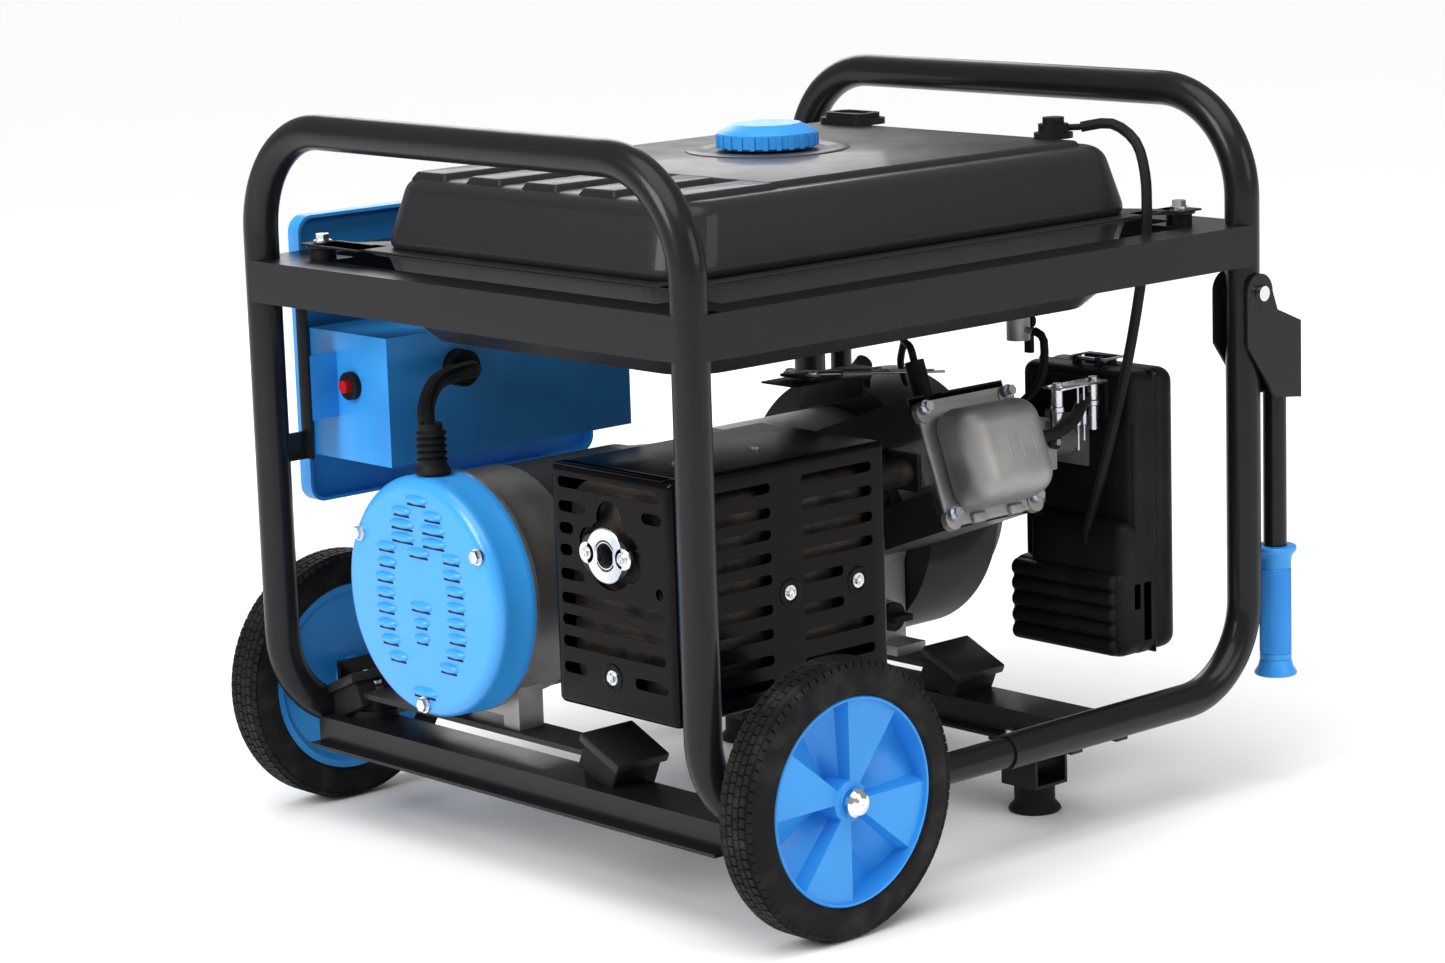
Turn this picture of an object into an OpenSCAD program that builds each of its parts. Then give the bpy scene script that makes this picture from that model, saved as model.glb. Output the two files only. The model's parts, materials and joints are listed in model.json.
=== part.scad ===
// Open-frame petrol generator: tube cradle, tank on top, engine and alternator on rubber mounts,
// two wheels at the alternator end, two feet and two fold-down handles at the engine end.
// Origin: on the ground, under the middle of the whole machine. X runs along the crankshaft,
// -X is the alternator end, -Y the muffler side and +Y the control panel side.

/* [Frame] */
// Distance between the centre planes of the two hoops
frame_length = 683; // [640:1:760]
// Distance between the base tubes, centre to centre
frame_width = 580; // [560:1:660]
// Height of the hoops' top tube, centre line above the ground
hoop_height = 653; // [640:1:760]
// Height of the base tubes, centre line above the ground
base_height = 98; // [90:1:110]
// Outside diameter of the frame tube
tube_d = 32; // [28:1:36]
// Wall of the frame tube
tube_wall = 1.8; // [1.2:0.1:3]
// Centre-line radius of the bends at the top of a hoop
top_bend = 96; // [70:1:110]
// Centre-line radius of the bends at the foot of a hoop
foot_bend = 84; // [60:1:95]
// Height of the tank rails' top face above the ground
rail_top = 533; // [525:1:545]
// Leg width of the tank rails' angle section
rail_leg = 38; // [30:1:42]
// Thickness of the tank rails' angle section
rail_t = 3; // [2:0.5:5]

/* [Wheels and feet] */
// Outside diameter of a wheel, tread to tread
wheel_d = 238; // [220:1:260]
// Width of a tyre
wheel_w = 43; // [36:1:52]
// Distance of the wheel axle from the alternator hoop's plane
axle_inset = 102.5; // [95:0.5:115]
// Diameter of a wheel axle
axle_d = 16; // [12:1:20]
// Diameter of the hub where the tyre grips it
hub_d = 178; // [150:1:190]
// Diameter of a rubber foot at the ground
foot_d = 49; // [40:1:60]
// Distance of the feet from the machine's middle plane
foot_y = 198; // [150:1:210]

/* [Handles] */
// Diameter of a handle's tube
handle_d = 22; // [18:1:25]
// Height of the handle hinge above the ground
handle_pivot_z = 470; // [440:1:474]
// Length of a handle's tube
handle_len = 342; // [290:1:346]
// Length of a handle's grip
grip_len = 124; // [100:1:140]

/* [Tank] */
// Length of the tank body at its flange
tank_l = 576; // [500:1:590]
// Width of the tank body at its flange
tank_w = 418; // [360:1:424]
// Height of the flange's underside above the rails
tank_lift = 10; // [6:1:14]
// Height of the upper shell above the flange
tank_rise = 72; // [50:1:80]
// Depth of the lower shell below the flange
tank_depth = 80; // [60:1:84]
// Wall of the tank shells
tank_wall = 1.5; // [1:0.1:2.5]
// Diameter of the filler cap
cap_d = 94; // [84:1:104]

/* [Control panel] */
// Length of the panel along the frame
panel_l = 347; // [300:1:350]
// Height of the panel
panel_h = 269; // [240:1:270]
// Wall of the panel mouldings
panel_wall = 3; // [2:0.5:4]

/* [Engine and alternator] */
// Distance of the crankshaft from the machine's middle plane
crank_y = 78; // [70:1:84]
// Height of the crankshaft above the ground
crank_z = 247; // [245:1:255]
// Lean of the cylinder above the horizontal
cyl_tilt = 20; // [10:1:25]
// Distance of the cylinder's centre from the hoops' mid plane
cyl_x = 95; // [85:1:100]
// Diameter of the alternator's end cover
cover_d = 220; // [200:1:222]
// Diameter of the blower housing
blower_d = 256; // [236:1:260]
// Length of the muffler's guard
guard_l = 249; // [220:1:252]
// Width of the muffler's guard
guard_w = 157; // [130:1:160]
// Height of the muffler's guard
guard_h = 212; // [190:1:230]

/* [Air cleaner] */
// Width of the air cleaner across the machine
air_w = 143; // [120:1:145]
// Height of the air cleaner
air_h = 268; // [230:1:270]
// Depth of the air cleaner along the machine
air_d = 87; // [70:1:90]

/* [Clearances] */
// Gap left at a welded or bolted joint
weld_gap = 0.05; // [0.02:0.01:0.2]
// Radial gap of a pin in its hole
run_gap = 0.05; // [0.02:0.01:0.1]
// Gap between pieces that pass each other
pass_gap = 0.6; // [0.4:0.1:2]

/* [Hidden] */
$fn = 48;
tube_r = tube_d / 2;
hoop_x = frame_length / 2;
base_y = frame_width / 2;
inner_y = base_y - tube_r;
rail_z0 = rail_top - rail_leg;
rail_out_x = hoop_x + tube_r;
rail_out_y = base_y + tube_r;
rail_ends_x = hoop_x + tube_r - rail_leg;

gusset = 56;

// Joint of the two hoops' base tubes, and the reduced end that slips inside
splice_x = 14;
reduced_r = tube_r - tube_wall - 0.3;
reduced_from = splice_x - 110;
reduced_in = 60;

// Wheels
wheel_r = wheel_d / 2;
axle_x = -hoop_x + axle_inset;
axle_z = wheel_r;
axle_r = axle_d / 2;
wheel_in = base_y + tube_r + 12;
wheel_out = wheel_in + wheel_w;
hub_r = hub_d / 2;
plate_t = 6;

// Cross members under the power unit
member_w = 52;
member_top = 100;
member_h = 26;
member_t = 3;
member_lip = 12;
member_a_x = -hoop_x + 55.5;
member_e_x = 150;
member_y = inner_y - weld_gap;

// Mount bars on four rubber mounts
bar_w = 40;
bar_t = 5;
mount_h = 20;
mount_r = 22;
mount_span = 334;
bar_z = member_top + mount_h;
bar_top = bar_z + bar_t;
bar_a_x = member_a_x + 14;
bolt_r = 4;

// Handles
pivot_r = 4;
cheek_in = tube_r + 2;
cheek_t = 3;
web_x = 55.5;
handle_x = web_x + 0.5 - handle_d / 2;
handle_drop = 26;
handle_top = handle_pivot_z - handle_drop;
handle_bottom = handle_top - handle_len;
grip_r = 15;
grip_flare_r = 20;
channel_drop = 104;

// Whole machine's middle along X, between the hoops' and the grips' outer faces
shift_x = -(handle_x + grip_flare_r - tube_r) / 2;

// Tank
flange_z = rail_top + tank_lift;
flange_t = 2;
flange_lip = 10;
tank_corner = 45;
tank_top = flange_z + tank_rise;
tank_bottom = flange_z - tank_depth;
top_inset_x = 20;
top_inset_y = 13;
tank_at = [-17, -28];
ear_x = hoop_x - 35.5;
ear_y = base_y - 45;
ear_r = 15;
filler = [21, 1];
neck_r = 30;
neck_wall = 3;
neck_h = 9;
cap_r = cap_d / 2;
cap_h = 22;
gauge_at = tank_at + [tank_l / 2 - 45, tank_w / 2 - 82];
vent_at = tank_at + [tank_l / 2 - 43, 75 - tank_w / 2];

// Control panel
fascia_y = base_y + tube_r + 2;
fascia_t = 16;
fascia_x = -hoop_x + 54.5;
fascia_z = flange_z + 21 - panel_h;
box_x = fascia_x + 7;
box_l = panel_l - 57;
box_y = 192;
box_z = 341;
box_h = 119;
breaker_y = 245;
breaker_z = 412;
button_travel = 3;

// Alternator and engine stations along X
cover_x = -hoop_x - 0.5;
cover_depth = 42;
end_x = cover_x + cover_depth;
stator_x = end_x + 62;
adapter_x = stator_x + 126;
case_x = 20;
case_l = 150;
blower_x = case_x + case_l + 2;
blower_l = 88;
recoil_x = blower_x + blower_l;
recoil_h = 36;
cover_r = cover_d / 2;
blower_r = blower_d / 2;
stator_r = 102;
rotor_r = 70;
shaft_r = 15;
case_r = 100;
head_t0 = 104;
head_t1 = 282;
engine_foot_z = bar_top;

// Carburettor and fuel tap
carb_x = 160;
carb_y = crank_y - 250 * cos(cyl_tilt);
carb_z = crank_z + 250 * sin(cyl_tilt);
tap_at = tank_at + [tank_l / 2 - 71, 97 - tank_w / 2];

// Muffler guard and air cleaner corners
guard_x = -hoop_x + 27.5;
guard_y = -230;
guard_z = 172;
air_x = 222;
air_y = -238;
air_z = 133;
seam_x = air_x + 54;
upper_x = air_x + 26;
lobe_h = 83;

// ---------- helpers ----------

// Moves the frame's own middle to the machine's origin
module placed() {
    translate([shift_x, 0, 0]) children();
}

// A cylinder along X, from x = 0
module rod_x(r, l) {
    rotate([0, 90, 0]) cylinder(r = r, h = l);
}

// A cylinder along Y, from y = 0 towards +Y
module rod_y(r, l) {
    rotate([-90, 0, 0]) cylinder(r = r, h = l);
}

// A ring along X
module ring_x(r_out, r_in, l) {
    difference() {
        rod_x(r_out, l);
        translate([-1, 0, 0]) rod_x(r_in, l + 2);
    }
}

// A flat rounded rectangle, centred
module round_rect(w, h, r) {
    union() {
        square([w - 2 * r, h], center = true);
        square([w, h - 2 * r], center = true);
        for (sx = [-1, 1], sy = [-1, 1]) translate([sx * (w / 2 - r), sy * (h / 2 - r)]) circle(r);
    }
}

// A plate with round corners, centred, from z = 0
module round_plate(w, h, r, t) {
    linear_extrude(t) round_rect(w, h, r);
}

// Smooth curve through a list of points
function spline_at(p, i, t) =
    let (a = p[max(i - 1, 0)], b = p[i], c = p[i + 1], d = p[min(i + 2, len(p) - 1)])
    0.5 * (2 * b + (c - a) * t + (2 * a - 5 * b + 4 * c - d) * t * t
        + (3 * b - 3 * c + d - a) * t * t * t);
function spline(p, n) =
    concat([for (i = [0:len(p) - 2], k = [0:n - 1]) spline_at(p, i, k / n)], [p[len(p) - 1]]);
function unit(v) = v / norm(v);

// Rings around a path, each turned square to it
function path_dir(q, i) = unit(q[min(i + 1, len(q) - 1)] - q[max(i - 1, 0)]);
function side_of(d) = unit(cross(d, abs(d.z) > 0.9 ? [0, 1, 0] : [0, 0, 1]));
function carried(q, i) =
    i == 0 ? side_of(path_dir(q, 0))
    : let (s = carried(q, i - 1), d = path_dir(q, i)) unit(s - d * (s * d));
module hose(points, r, per = 4, sides = 10) {
    q = spline(points, per);
    n = len(q);
    rings = [for (i = [0:n - 1]) let (d = path_dir(q, i), s = carried(q, i), u = cross(d, s))
        for (k = [0:sides - 1]) q[i] + r * (s * cos(360 * k / sides) + u * sin(360 * k / sides))];
    walls = [for (i = [0:n - 2], k = [0:sides - 1]) let (a = i * sides + k, b = i * sides + (k + 1) % sides)
        [a, a + sides, b + sides, b]];
    ends = [[for (k = [0:sides - 1]) k], [for (k = [sides - 1:-1:0]) (n - 1) * sides + k]];
    polyhedron(rings, concat(walls, ends), convexity = 6);
}

// Local frame of the cylinder: +Z runs from the crankshaft out along the bore
module bore_frame() {
    translate([cyl_x, crank_y, crank_z]) rotate([90 - cyl_tilt, 0, 0]) children();
}

// Both sides of the machine, mirrored about its middle plane
module both_sides() {
    children();
    mirror([0, 1, 0]) children();
}

// ---------- frame ----------

// One side of a hoop as a solid of radius r; the hoop stands in the plane x = 0,
// its base leg runs to x = leg
module hoop_half(r, leg) {
    translate([foot_bend, -base_y, base_height]) rod_x(r, leg - foot_bend);
    translate([foot_bend, -base_y, base_height + foot_bend]) rotate([90, 0, 0])
        rotate_extrude(angle = 90, start = 180) translate([foot_bend, 0]) circle(r);
    translate([0, -base_y, base_height + foot_bend])
        cylinder(r = r, h = hoop_height - base_height - foot_bend - top_bend);
    translate([0, top_bend - base_y, hoop_height - top_bend]) rotate([90, 0, 90])
        rotate_extrude(angle = 90, start = 90) translate([top_bend, 0]) circle(r);
    translate([0, top_bend - base_y, hoop_height]) rod_y(r, base_y - top_bend);
}

module hoop_solid(r, leg) {
    both_sides() hoop_half(r, leg);
}

// Hole for a handle's hinge bolt
module pivot_holes() {
    for (s = [-1, 1]) translate([hoop_x, s * base_y - 30, handle_pivot_z]) rod_y(pivot_r + run_gap, 60);
}

// Plate for a wheel's axle, outside the base tube
module axle_plate() {
    difference() {
        translate([axle_x - 26, -base_y - tube_r - plate_t, base_height - tube_r])
            cube([52, plate_t + tube_r, axle_z - base_height + tube_r + 20]);
        translate([axle_x - 30, -base_y, base_height]) rod_x(tube_r - 0.5, 60);
        translate([axle_x - 30, -base_y - tube_r, base_height + tube_r - 2]) cube([60, 60, 60]);
        translate([axle_x, -base_y - 60, axle_z]) rod_y(axle_r + weld_gap, 80);
    }
}

// Upright strap that holds the panel's edge, welded to the tube
module panel_strap() {
    strap_y = base_y - 14;
    translate([-hoop_x + 28, strap_y - 8, box_z + 4]) cube([3, 14, rail_z0 - box_z - 4 - weld_gap]);
    translate([-hoop_x + 4, strap_y, box_z + 4]) cube([26, 3, 26]);
}

module hoop_wheel_end() {
    color("#1c1c1e") placed() difference() {
        union() {
            translate([-hoop_x, 0, 0]) hoop_solid(tube_r, reduced_from + hoop_x);
            both_sides() {
                translate([reduced_from, -base_y, base_height])
                    rod_x(reduced_r, splice_x + reduced_in - reduced_from);
                axle_plate();
            }
            panel_strap();
        }
        translate([-hoop_x, 0, 0]) hoop_solid(tube_r - tube_wall, reduced_from + hoop_x - 6);
        both_sides() translate([reduced_from - 12, -base_y, base_height])
            rod_x(reduced_r - tube_wall, splice_x + reduced_in - reduced_from + 20);
    }
}

module hoop_handle_end() {
    color("#1c1c1e") placed() difference() {
        translate([hoop_x, 0, 0]) mirror([1, 0, 0]) hoop_solid(tube_r, hoop_x - splice_x);
        translate([hoop_x, 0, 0]) mirror([1, 0, 0]) hoop_solid(tube_r - tube_wall, hoop_x - splice_x + 5);
        pivot_holes();
    }
}

// Four lengths of angle between the uprights, top leg inwards
module tank_rails() {
    side_l = 2 * (rail_ends_x - weld_gap);
    color("#1f1f22") placed() difference() {
        union() {
            for (s = [0, 1]) mirror([s, 0, 0]) {
                translate([-rail_out_x, -base_y, rail_z0]) cube([rail_t, 2 * base_y, rail_leg]);
                translate([-rail_out_x, -base_y, rail_top - rail_t]) cube([rail_leg, 2 * base_y, rail_t]);
            }
            for (s = [0, 1]) mirror([0, s, 0]) {
                translate([-hoop_x, -rail_out_y, rail_z0]) cube([2 * hoop_x, rail_t, rail_leg]);
                translate([-side_l / 2, -rail_out_y, rail_top - rail_t]) cube([side_l, rail_leg, rail_t]);
            }
            for (s = [0, 1], t = [0, 1]) mirror([s, 0, 0]) mirror([0, t, 0])
                translate([-hoop_x, -base_y, rail_top - rail_t]) cube([gusset, gusset + 8, rail_t]);
        }
        for (sx = [-1, 1], sy = [-1, 1]) {
            translate([sx * hoop_x, sy * base_y, rail_z0 - 1])
                cylinder(r = tube_r + weld_gap, h = rail_leg + 2);
            translate([sx * ear_x, sy * ear_y, rail_z0]) cylinder(r = bolt_r + weld_gap, h = rail_leg + 2);
        }
    }
}

// A hat section across the frame, its open side down, with a lip on each foot
module member(x, holes_x) {
    wide = member_w + 2 * member_lip;
    difference() {
        union() {
            translate([x - member_w / 2, -member_y - 6, member_top - member_h])
                cube([member_w, 2 * member_y + 12, member_h]);
            translate([x - wide / 2, -member_y - 6, member_top - member_h])
                cube([wide, 2 * member_y + 12, member_t]);
        }
        translate([x - member_w / 2 + member_t, -member_y - 10, member_top - member_h - 1])
            cube([member_w - 2 * member_t, 2 * member_y + 20, member_h - member_t + 1]);
        for (s = [-1, 1]) translate([-hoop_x, 0, 0]) {
            translate([foot_bend - 1, s * base_y, base_height]) rod_x(tube_r + weld_gap, 2 * hoop_x);
            translate([foot_bend, s * base_y, base_height + foot_bend]) rotate([90, 0, 0])
                rotate_extrude(angle = 90, start = 180) translate([foot_bend, 0]) circle(tube_r + weld_gap);
        }
        for (s = [-1, 1]) translate([holes_x, crank_y + s * mount_span / 2, member_top - member_t - 1])
            cylinder(r = bolt_r + weld_gap, h = member_t + 2);
    }
}

module crossmember_alternator() {
    color("#1b1b1d") placed() member(member_a_x, bar_a_x);
}

module crossmember_engine() {
    color("#1b1b1d") placed() difference() {
        member(member_e_x, member_e_x);
        for (s = [-1, 1]) translate([member_e_x - member_w / 2 - member_lip / 2, s * foot_y,
            member_top - member_h - 1])
            cylinder(r = 3 + weld_gap, h = member_t + 2);
    }
}

foot_h = 26;
leg_w = 43;
leg_z1 = member_top - member_h - weld_gap;

// Short legs bolted under the engine's cross member
module leg_bracket() {
    translate([member_e_x - leg_w / 2, foot_y - leg_w / 2, foot_h]) difference() {
        cube([leg_w, leg_w, leg_z1 - foot_h]);
        translate([3, -1, 3]) cube([leg_w - 6, leg_w + 2, leg_z1 - foot_h]);
    }
    translate([member_e_x - member_w / 2 - member_lip, foot_y - leg_w / 2, leg_z1 - 3]) difference() {
        cube([member_w / 2 + member_lip - leg_w / 2 + 1, leg_w, 3]);
        translate([member_lip / 2, leg_w / 2, -1]) cylinder(r = 3 + weld_gap, h = 5);
    }
}

module leg_brackets() {
    color("#19191b") placed() both_sides() leg_bracket();
}

// Rubber foot with a flared rim
module rubber_feet() {
    color("#141414") placed() for (s = [-1, 1]) translate([member_e_x, s * foot_y, 0]) rotate_extrude()
        polygon([[0, 0], [foot_d / 2 - 2, 0], [foot_d / 2, 2], [foot_d / 2 - 0.5, 4],
            [foot_d / 2 - 5.5, 10],
            [foot_d / 2 - 5.5, foot_h - weld_gap], [0, foot_h - weld_gap]]);
}

// ---------- wheels ----------

module tyre_profile() {
    side = wheel_r - hub_r;
    lip = side / 10;
    shoulder = 0.4 * side;
    round_by = side * 2 / 15;
    translate([0, -wheel_w / 2]) polygon([[hub_r, 3], [hub_r + lip, 0], [hub_r + shoulder, 0],
        [wheel_r - shoulder, 1], [wheel_r - round_by, 5], [wheel_r, 12], [wheel_r, wheel_w - 12],
        [wheel_r - round_by, wheel_w - 5], [wheel_r - shoulder, wheel_w - 1], [hub_r + lip, wheel_w],
        [hub_r, wheel_w - 3]]);
}

module tyre_at(side) {
    translate([axle_x, side * (wheel_in + wheel_w / 2), axle_z]) rotate([90, 0, 0])
        rotate_extrude($fn = 96) tyre_profile();
}

module tyre_left() {
    color("#1a1a1a") placed() tyre_at(1);
}

module tyre_right() {
    color("#1a1a1a") placed() tyre_at(-1);
}

// Moulded hub: rim, sunk floor and five broad spokes
module hub_at(side) {
    boss_r = 19;
    floor_z = -3.5;
    translate([axle_x, side * (wheel_in + wheel_w / 2), axle_z]) rotate([side * -90, 0, 0]) difference() {
        union() {
            translate([0, 0, 3 - wheel_w / 2]) cylinder(r = hub_r - 0.1, h = wheel_w - 6, $fn = 96);
            translate([0, 0, -wheel_w / 2]) cylinder(r = boss_r, h = wheel_w - 1);
        }
        for (k = [0:4]) rotate([0, 0, 72 * k + 18]) translate([0, 0, floor_z]) linear_extrude(wheel_w)
            intersection() {
            difference() {
                circle(hub_r - 8, $fn = 96);
                circle(boss_r + 5);
            }
            polygon([[0, 0], [hub_r * 1.2, -hub_r * 1.2 * tan(22)], [hub_r * 1.2, hub_r * 1.2 * tan(22)]]);
        }
        translate([0, 0, -wheel_w]) cylinder(r = axle_r + run_gap, h = 2 * wheel_w);
    }
}

module hub_left() {
    color("#2f86e0") placed() hub_at(1);
}

module hub_right() {
    color("#2f86e0") placed() hub_at(-1);
}

// ---------- handles ----------

// Channel round the upright, and the tube welded inside its web
module handle_frame() {
    out_x = web_x + cheek_t;
    translate([hoop_x, -base_y, handle_pivot_z]) {
        difference() {
            union() {
                for (s = [-1, 1]) translate([0, s * (cheek_in + cheek_t / 2) + cheek_t / 2, 0])
                    rotate([90, 0, 0])
                    linear_extrude(cheek_t) union() {
                        circle(18);
                        polygon([[-18, 0], [18, 0], [25, -18], [out_x, -32], [out_x, -channel_drop],
                            [22, -channel_drop + 4], [-18, -channel_drop + 56]]);
                    }
                translate([web_x, -cheek_in - cheek_t, -channel_drop])
                    cube([cheek_t, 2 * (cheek_in + cheek_t), channel_drop - 32]);
            }
            translate([0, -40, 0]) rod_y(pivot_r + run_gap, 80);
        }
        translate([handle_x, 0, -handle_drop - handle_len]) difference() {
            cylinder(r = handle_d / 2, h = handle_len);
            translate([0, 0, -1]) cylinder(r = handle_d / 2 - 1.6, h = handle_len + 2);
        }
    }
}

module handle_grip() {
    z0 = handle_bottom - 2;
    translate([hoop_x + handle_x, -base_y, z0]) rotate_extrude()
        polygon([[0, 0], [grip_flare_r, 0], [grip_flare_r, 3], [grip_r, 12], [grip_r, grip_len - 14],
            [grip_flare_r, grip_len - 5], [grip_flare_r - 1, grip_len], [handle_d / 2 + weld_gap, grip_len],
            [handle_d / 2 + weld_gap, 2 - weld_gap], [0, 2 - weld_gap]]);
}

module handle_left() {
    color("#1c1c1e") placed() mirror([0, 1, 0]) handle_frame();
}

module handle_right() {
    color("#1c1c1e") placed() handle_frame();
}

module grip_left() {
    color("#2f86e0") placed() mirror([0, 1, 0]) handle_grip();
}

module grip_right() {
    color("#2f86e0") placed() handle_grip();
}

// Steel bolts that the wheels and the handles turn on
module pivot_bolts() {
    color("#c9ccd0") placed() both_sides() {
        translate([axle_x, -wheel_out - 1, axle_z]) rod_y(axle_r, wheel_out + 4 - base_y - tube_r);
        translate([axle_x, -wheel_out - 1, axle_z]) rotate([90, 0, 0]) rotate_extrude()
            polygon([[0, 0], [13, 0], [12.4, 3], [9.5, 6], [5, 7.8], [0, 8.3]]);
        translate([hoop_x, -base_y - cheek_in - cheek_t - 1, handle_pivot_z]) {
            rod_y(pivot_r, 2 * (cheek_in + cheek_t) + 2);
            for (y = [-5, 2 * (cheek_in + cheek_t) + 1.6]) translate([0, y + 0.4, 0]) rod_y(7, 5);
        }
    }
}

// ---------- tank ----------

// A tank body from z0 to z1, its corner outline shrinking by an inset
module tank_body(grow, z0, z1, in_x, in_y, soft) {
    l = tank_l / 2 + grow;
    w = tank_w / 2 + grow;
    far = z1 > z0 ? z1 - soft : z1 + soft;
    translate(tank_at) hull() {
        for (sx = [-1, 1], sy = [-1, 1]) {
            translate([sx * (l - tank_corner), sy * (w - tank_corner), z1 > z0 ? z0 : z0 - 2])
                cylinder(r = tank_corner, h = 2, $fn = 32);
            translate([sx * (l - in_x - tank_corner), sy * (w - in_y - tank_corner), far - 0.5])
                cylinder(r = tank_corner, h = 1, $fn = 32);
            translate([sx * (l - in_x - tank_corner - soft / 2), sy * (w - in_y - tank_corner - soft / 2),
                z1 > z0 ? z1 - 1 : z1]) cylinder(r = tank_corner - soft / 2, h = 1, $fn = 32);
        }
    }
}

// Flange with four ears on the rails
module tank_flange(t) {
    linear_extrude(t) difference() {
        union() {
            translate(tank_at) round_rect(tank_l + 2 * flange_lip, tank_w + 2 * flange_lip, tank_corner);
            for (sx = [-1, 1], sy = [-1, 1]) {
                translate([sx * ear_x, sy * ear_y]) circle(ear_r);
                polygon([[sx * (ear_x + ear_r), sy * ear_y], [sx * ear_x, sy * (ear_y + ear_r)],
                    [sx * (ear_x - 106), sy * (ear_y - 85)], [sx * (ear_x - 50), sy * (ear_y - 125)]]);
            }
        }
        for (sx = [-1, 1], sy = [-1, 1]) translate([sx * ear_x, sy * ear_y]) circle(bolt_r + weld_gap);
    }
}

module tank_upper() {
    z0 = flange_z + flange_t + weld_gap;
    color("#202023") placed() difference() {
        union() {
            translate([0, 0, z0]) tank_flange(flange_t);
            tank_body(0, z0, tank_top, top_inset_x, top_inset_y, 12);
            translate([filler.x, filler.y, tank_top - 1]) cylinder(r = neck_r, h = neck_h + 1);
        }
        tank_body(-tank_wall, z0 - 0.01, tank_top - tank_wall, top_inset_x, top_inset_y, 12);
        translate([filler.x, filler.y, tank_top - 20]) cylinder(r = neck_r - neck_wall, h = 60);
    }
}

module tank_lower() {
    color("#1d1d20") placed() difference() {
        union() {
            translate([0, 0, flange_z]) tank_flange(flange_t);
            tank_body(0, flange_z + flange_t, tank_bottom, 22, 15, 14);
        }
        tank_body(-tank_wall, flange_z + flange_t + 0.01, tank_bottom + tank_wall, 22, 15, 14);
        translate([tap_at.x, tap_at.y, tank_bottom - 5]) cylinder(r = 6 + weld_gap, h = 10);
    }
}

// Bayonet insert that plugs the neck
module cap_core() {
    r = neck_r - neck_wall - pass_gap;
    color("#232326") placed() translate([filler.x, filler.y, 0]) {
        translate([0, 0, tank_top - 8]) cylinder(r = r, h = neck_h + 8);
        translate([0, 0, tank_top + neck_h + weld_gap]) cylinder(r = neck_r, h = 4);
        translate([0, 0, tank_top + neck_h + 3]) cylinder(r = 8, h = 5);
    }
}

// Ribbed outer shell of the cap
module cap_shell() {
    z0 = tank_top + 2;
    roof = neck_h + 4 + pass_gap - 2;
    color("#2f86e0") placed() translate([filler.x, filler.y, z0]) difference() {
        union() {
            rotate_extrude() polygon([[0, 0], [cap_r - 4, 0], [cap_r - 1.5, 2], [cap_r - 1.5, 14],
                [cap_r - 6, 17],
                [cap_r - 12, cap_h - 2], [cap_r - 16, cap_h], [0, cap_h]]);
            for (k = [0:23]) rotate([0, 0, 15 * k]) translate([cap_r - 3, -2, 1]) cube([3, 4, 12]);
        }
        translate([0, 0, -1]) cylinder(r = neck_r + 3, h = roof + 1);
        translate([0, 0, -1]) cylinder(r = 8 + pass_gap, h = roof + 5 + pass_gap);
    }
}

module fuel_gauge() {
    color("#222224") placed() translate([gauge_at.x, gauge_at.y, tank_top + weld_gap]) difference() {
        union() {
            round_plate(40, 62, 12, 6);
            translate([0, 0, 6]) round_plate(32, 52, 9, 5);
        }
        translate([0, 0, 9]) round_plate(22, 38, 6, 4);
    }
}

// Roll-over valve with a side nipple
module vent_valve() {
    color("#242427") placed() translate([vent_at.x, vent_at.y, tank_top + weld_gap]) {
        cylinder(r = 18, h = 5);
        translate([0, 0, 5]) cylinder(r = 14, h = 8);
        translate([0, 0, 13]) cylinder(r = 10, h = 6);
        rotate([0, 0, -40]) translate([9, 0, 9]) rod_x(3, 16);
    }
}

nipple = [235, -190, air_z + lobe_h + 22];
vent_route = [[vent_at.x + 19.6, vent_at.y - 16.5, tank_top + 9], [262, -203, tank_top + 12],
    [262, -232, tank_top - 3], [254, -250, tank_top - 30], [248, -257, tank_top - 60],
    [246, -257.5, rail_top],
    [243, -252, 480], [240, -238, 410], [237, -216, 330], [nipple.x, -194, nipple.z + 24],
    [nipple.x, nipple.y, nipple.z + 10], nipple + [0, 0, 5], nipple + [0, 0, 0.3]];
fuel_route = [[tap_at.x, tap_at.y - 20.2, tank_bottom - 24], [tap_at.x, tap_at.y - 32, tank_bottom - 32],
    [190, -178, 398], [182, -164, 378],
    [carb_x + 20, carb_y, carb_z + 41], [carb_x + 20, carb_y, carb_z + 37],
    [carb_x + 20, carb_y, carb_z + 33.4]];
breather_route = [[147.3, -213, 353], [170, -214, 354], [195, -212, 362], [216, -203, 373], [230, -196, 376],
    [238, -196, 376], [243, -196, 376], [247.8, -196, 376]];
module hoses() {
    color("#1c1c1c") placed() {
        hose(vent_route, 5, 3, 10);
        hose(fuel_route, 4, 3, 10);
        hose(breather_route, 6, 3, 10);
    }
}

// ---------- mounts and fasteners ----------

function mount_places() = [for (x = [bar_a_x, member_e_x], s = [-1, 1]) [x, crank_y + s * mount_span / 2]];
module rubber_mounts() {
    color("#161616") placed() {
        for (p = mount_places()) translate([p.x, p.y, member_top + weld_gap]) difference() {
            union() {
                cylinder(r = mount_r, h = 7);
                translate([0, 0, 7]) cylinder(r = mount_r - 4, h = mount_h - 7 - 2 * weld_gap);
            }
            translate([0, 0, -1]) cylinder(r = bolt_r + weld_gap, h = mount_h + 2);
        }
        for (sx = [-1, 1], sy = [-1, 1]) translate([sx * ear_x, sy * ear_y, rail_top + weld_gap])
            difference() {
            cylinder(r = 12, h = tank_lift - 2 * weld_gap);
            translate([0, 0, -1]) cylinder(r = bolt_r + weld_gap, h = tank_lift + 2);
        }
    }
}

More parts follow.
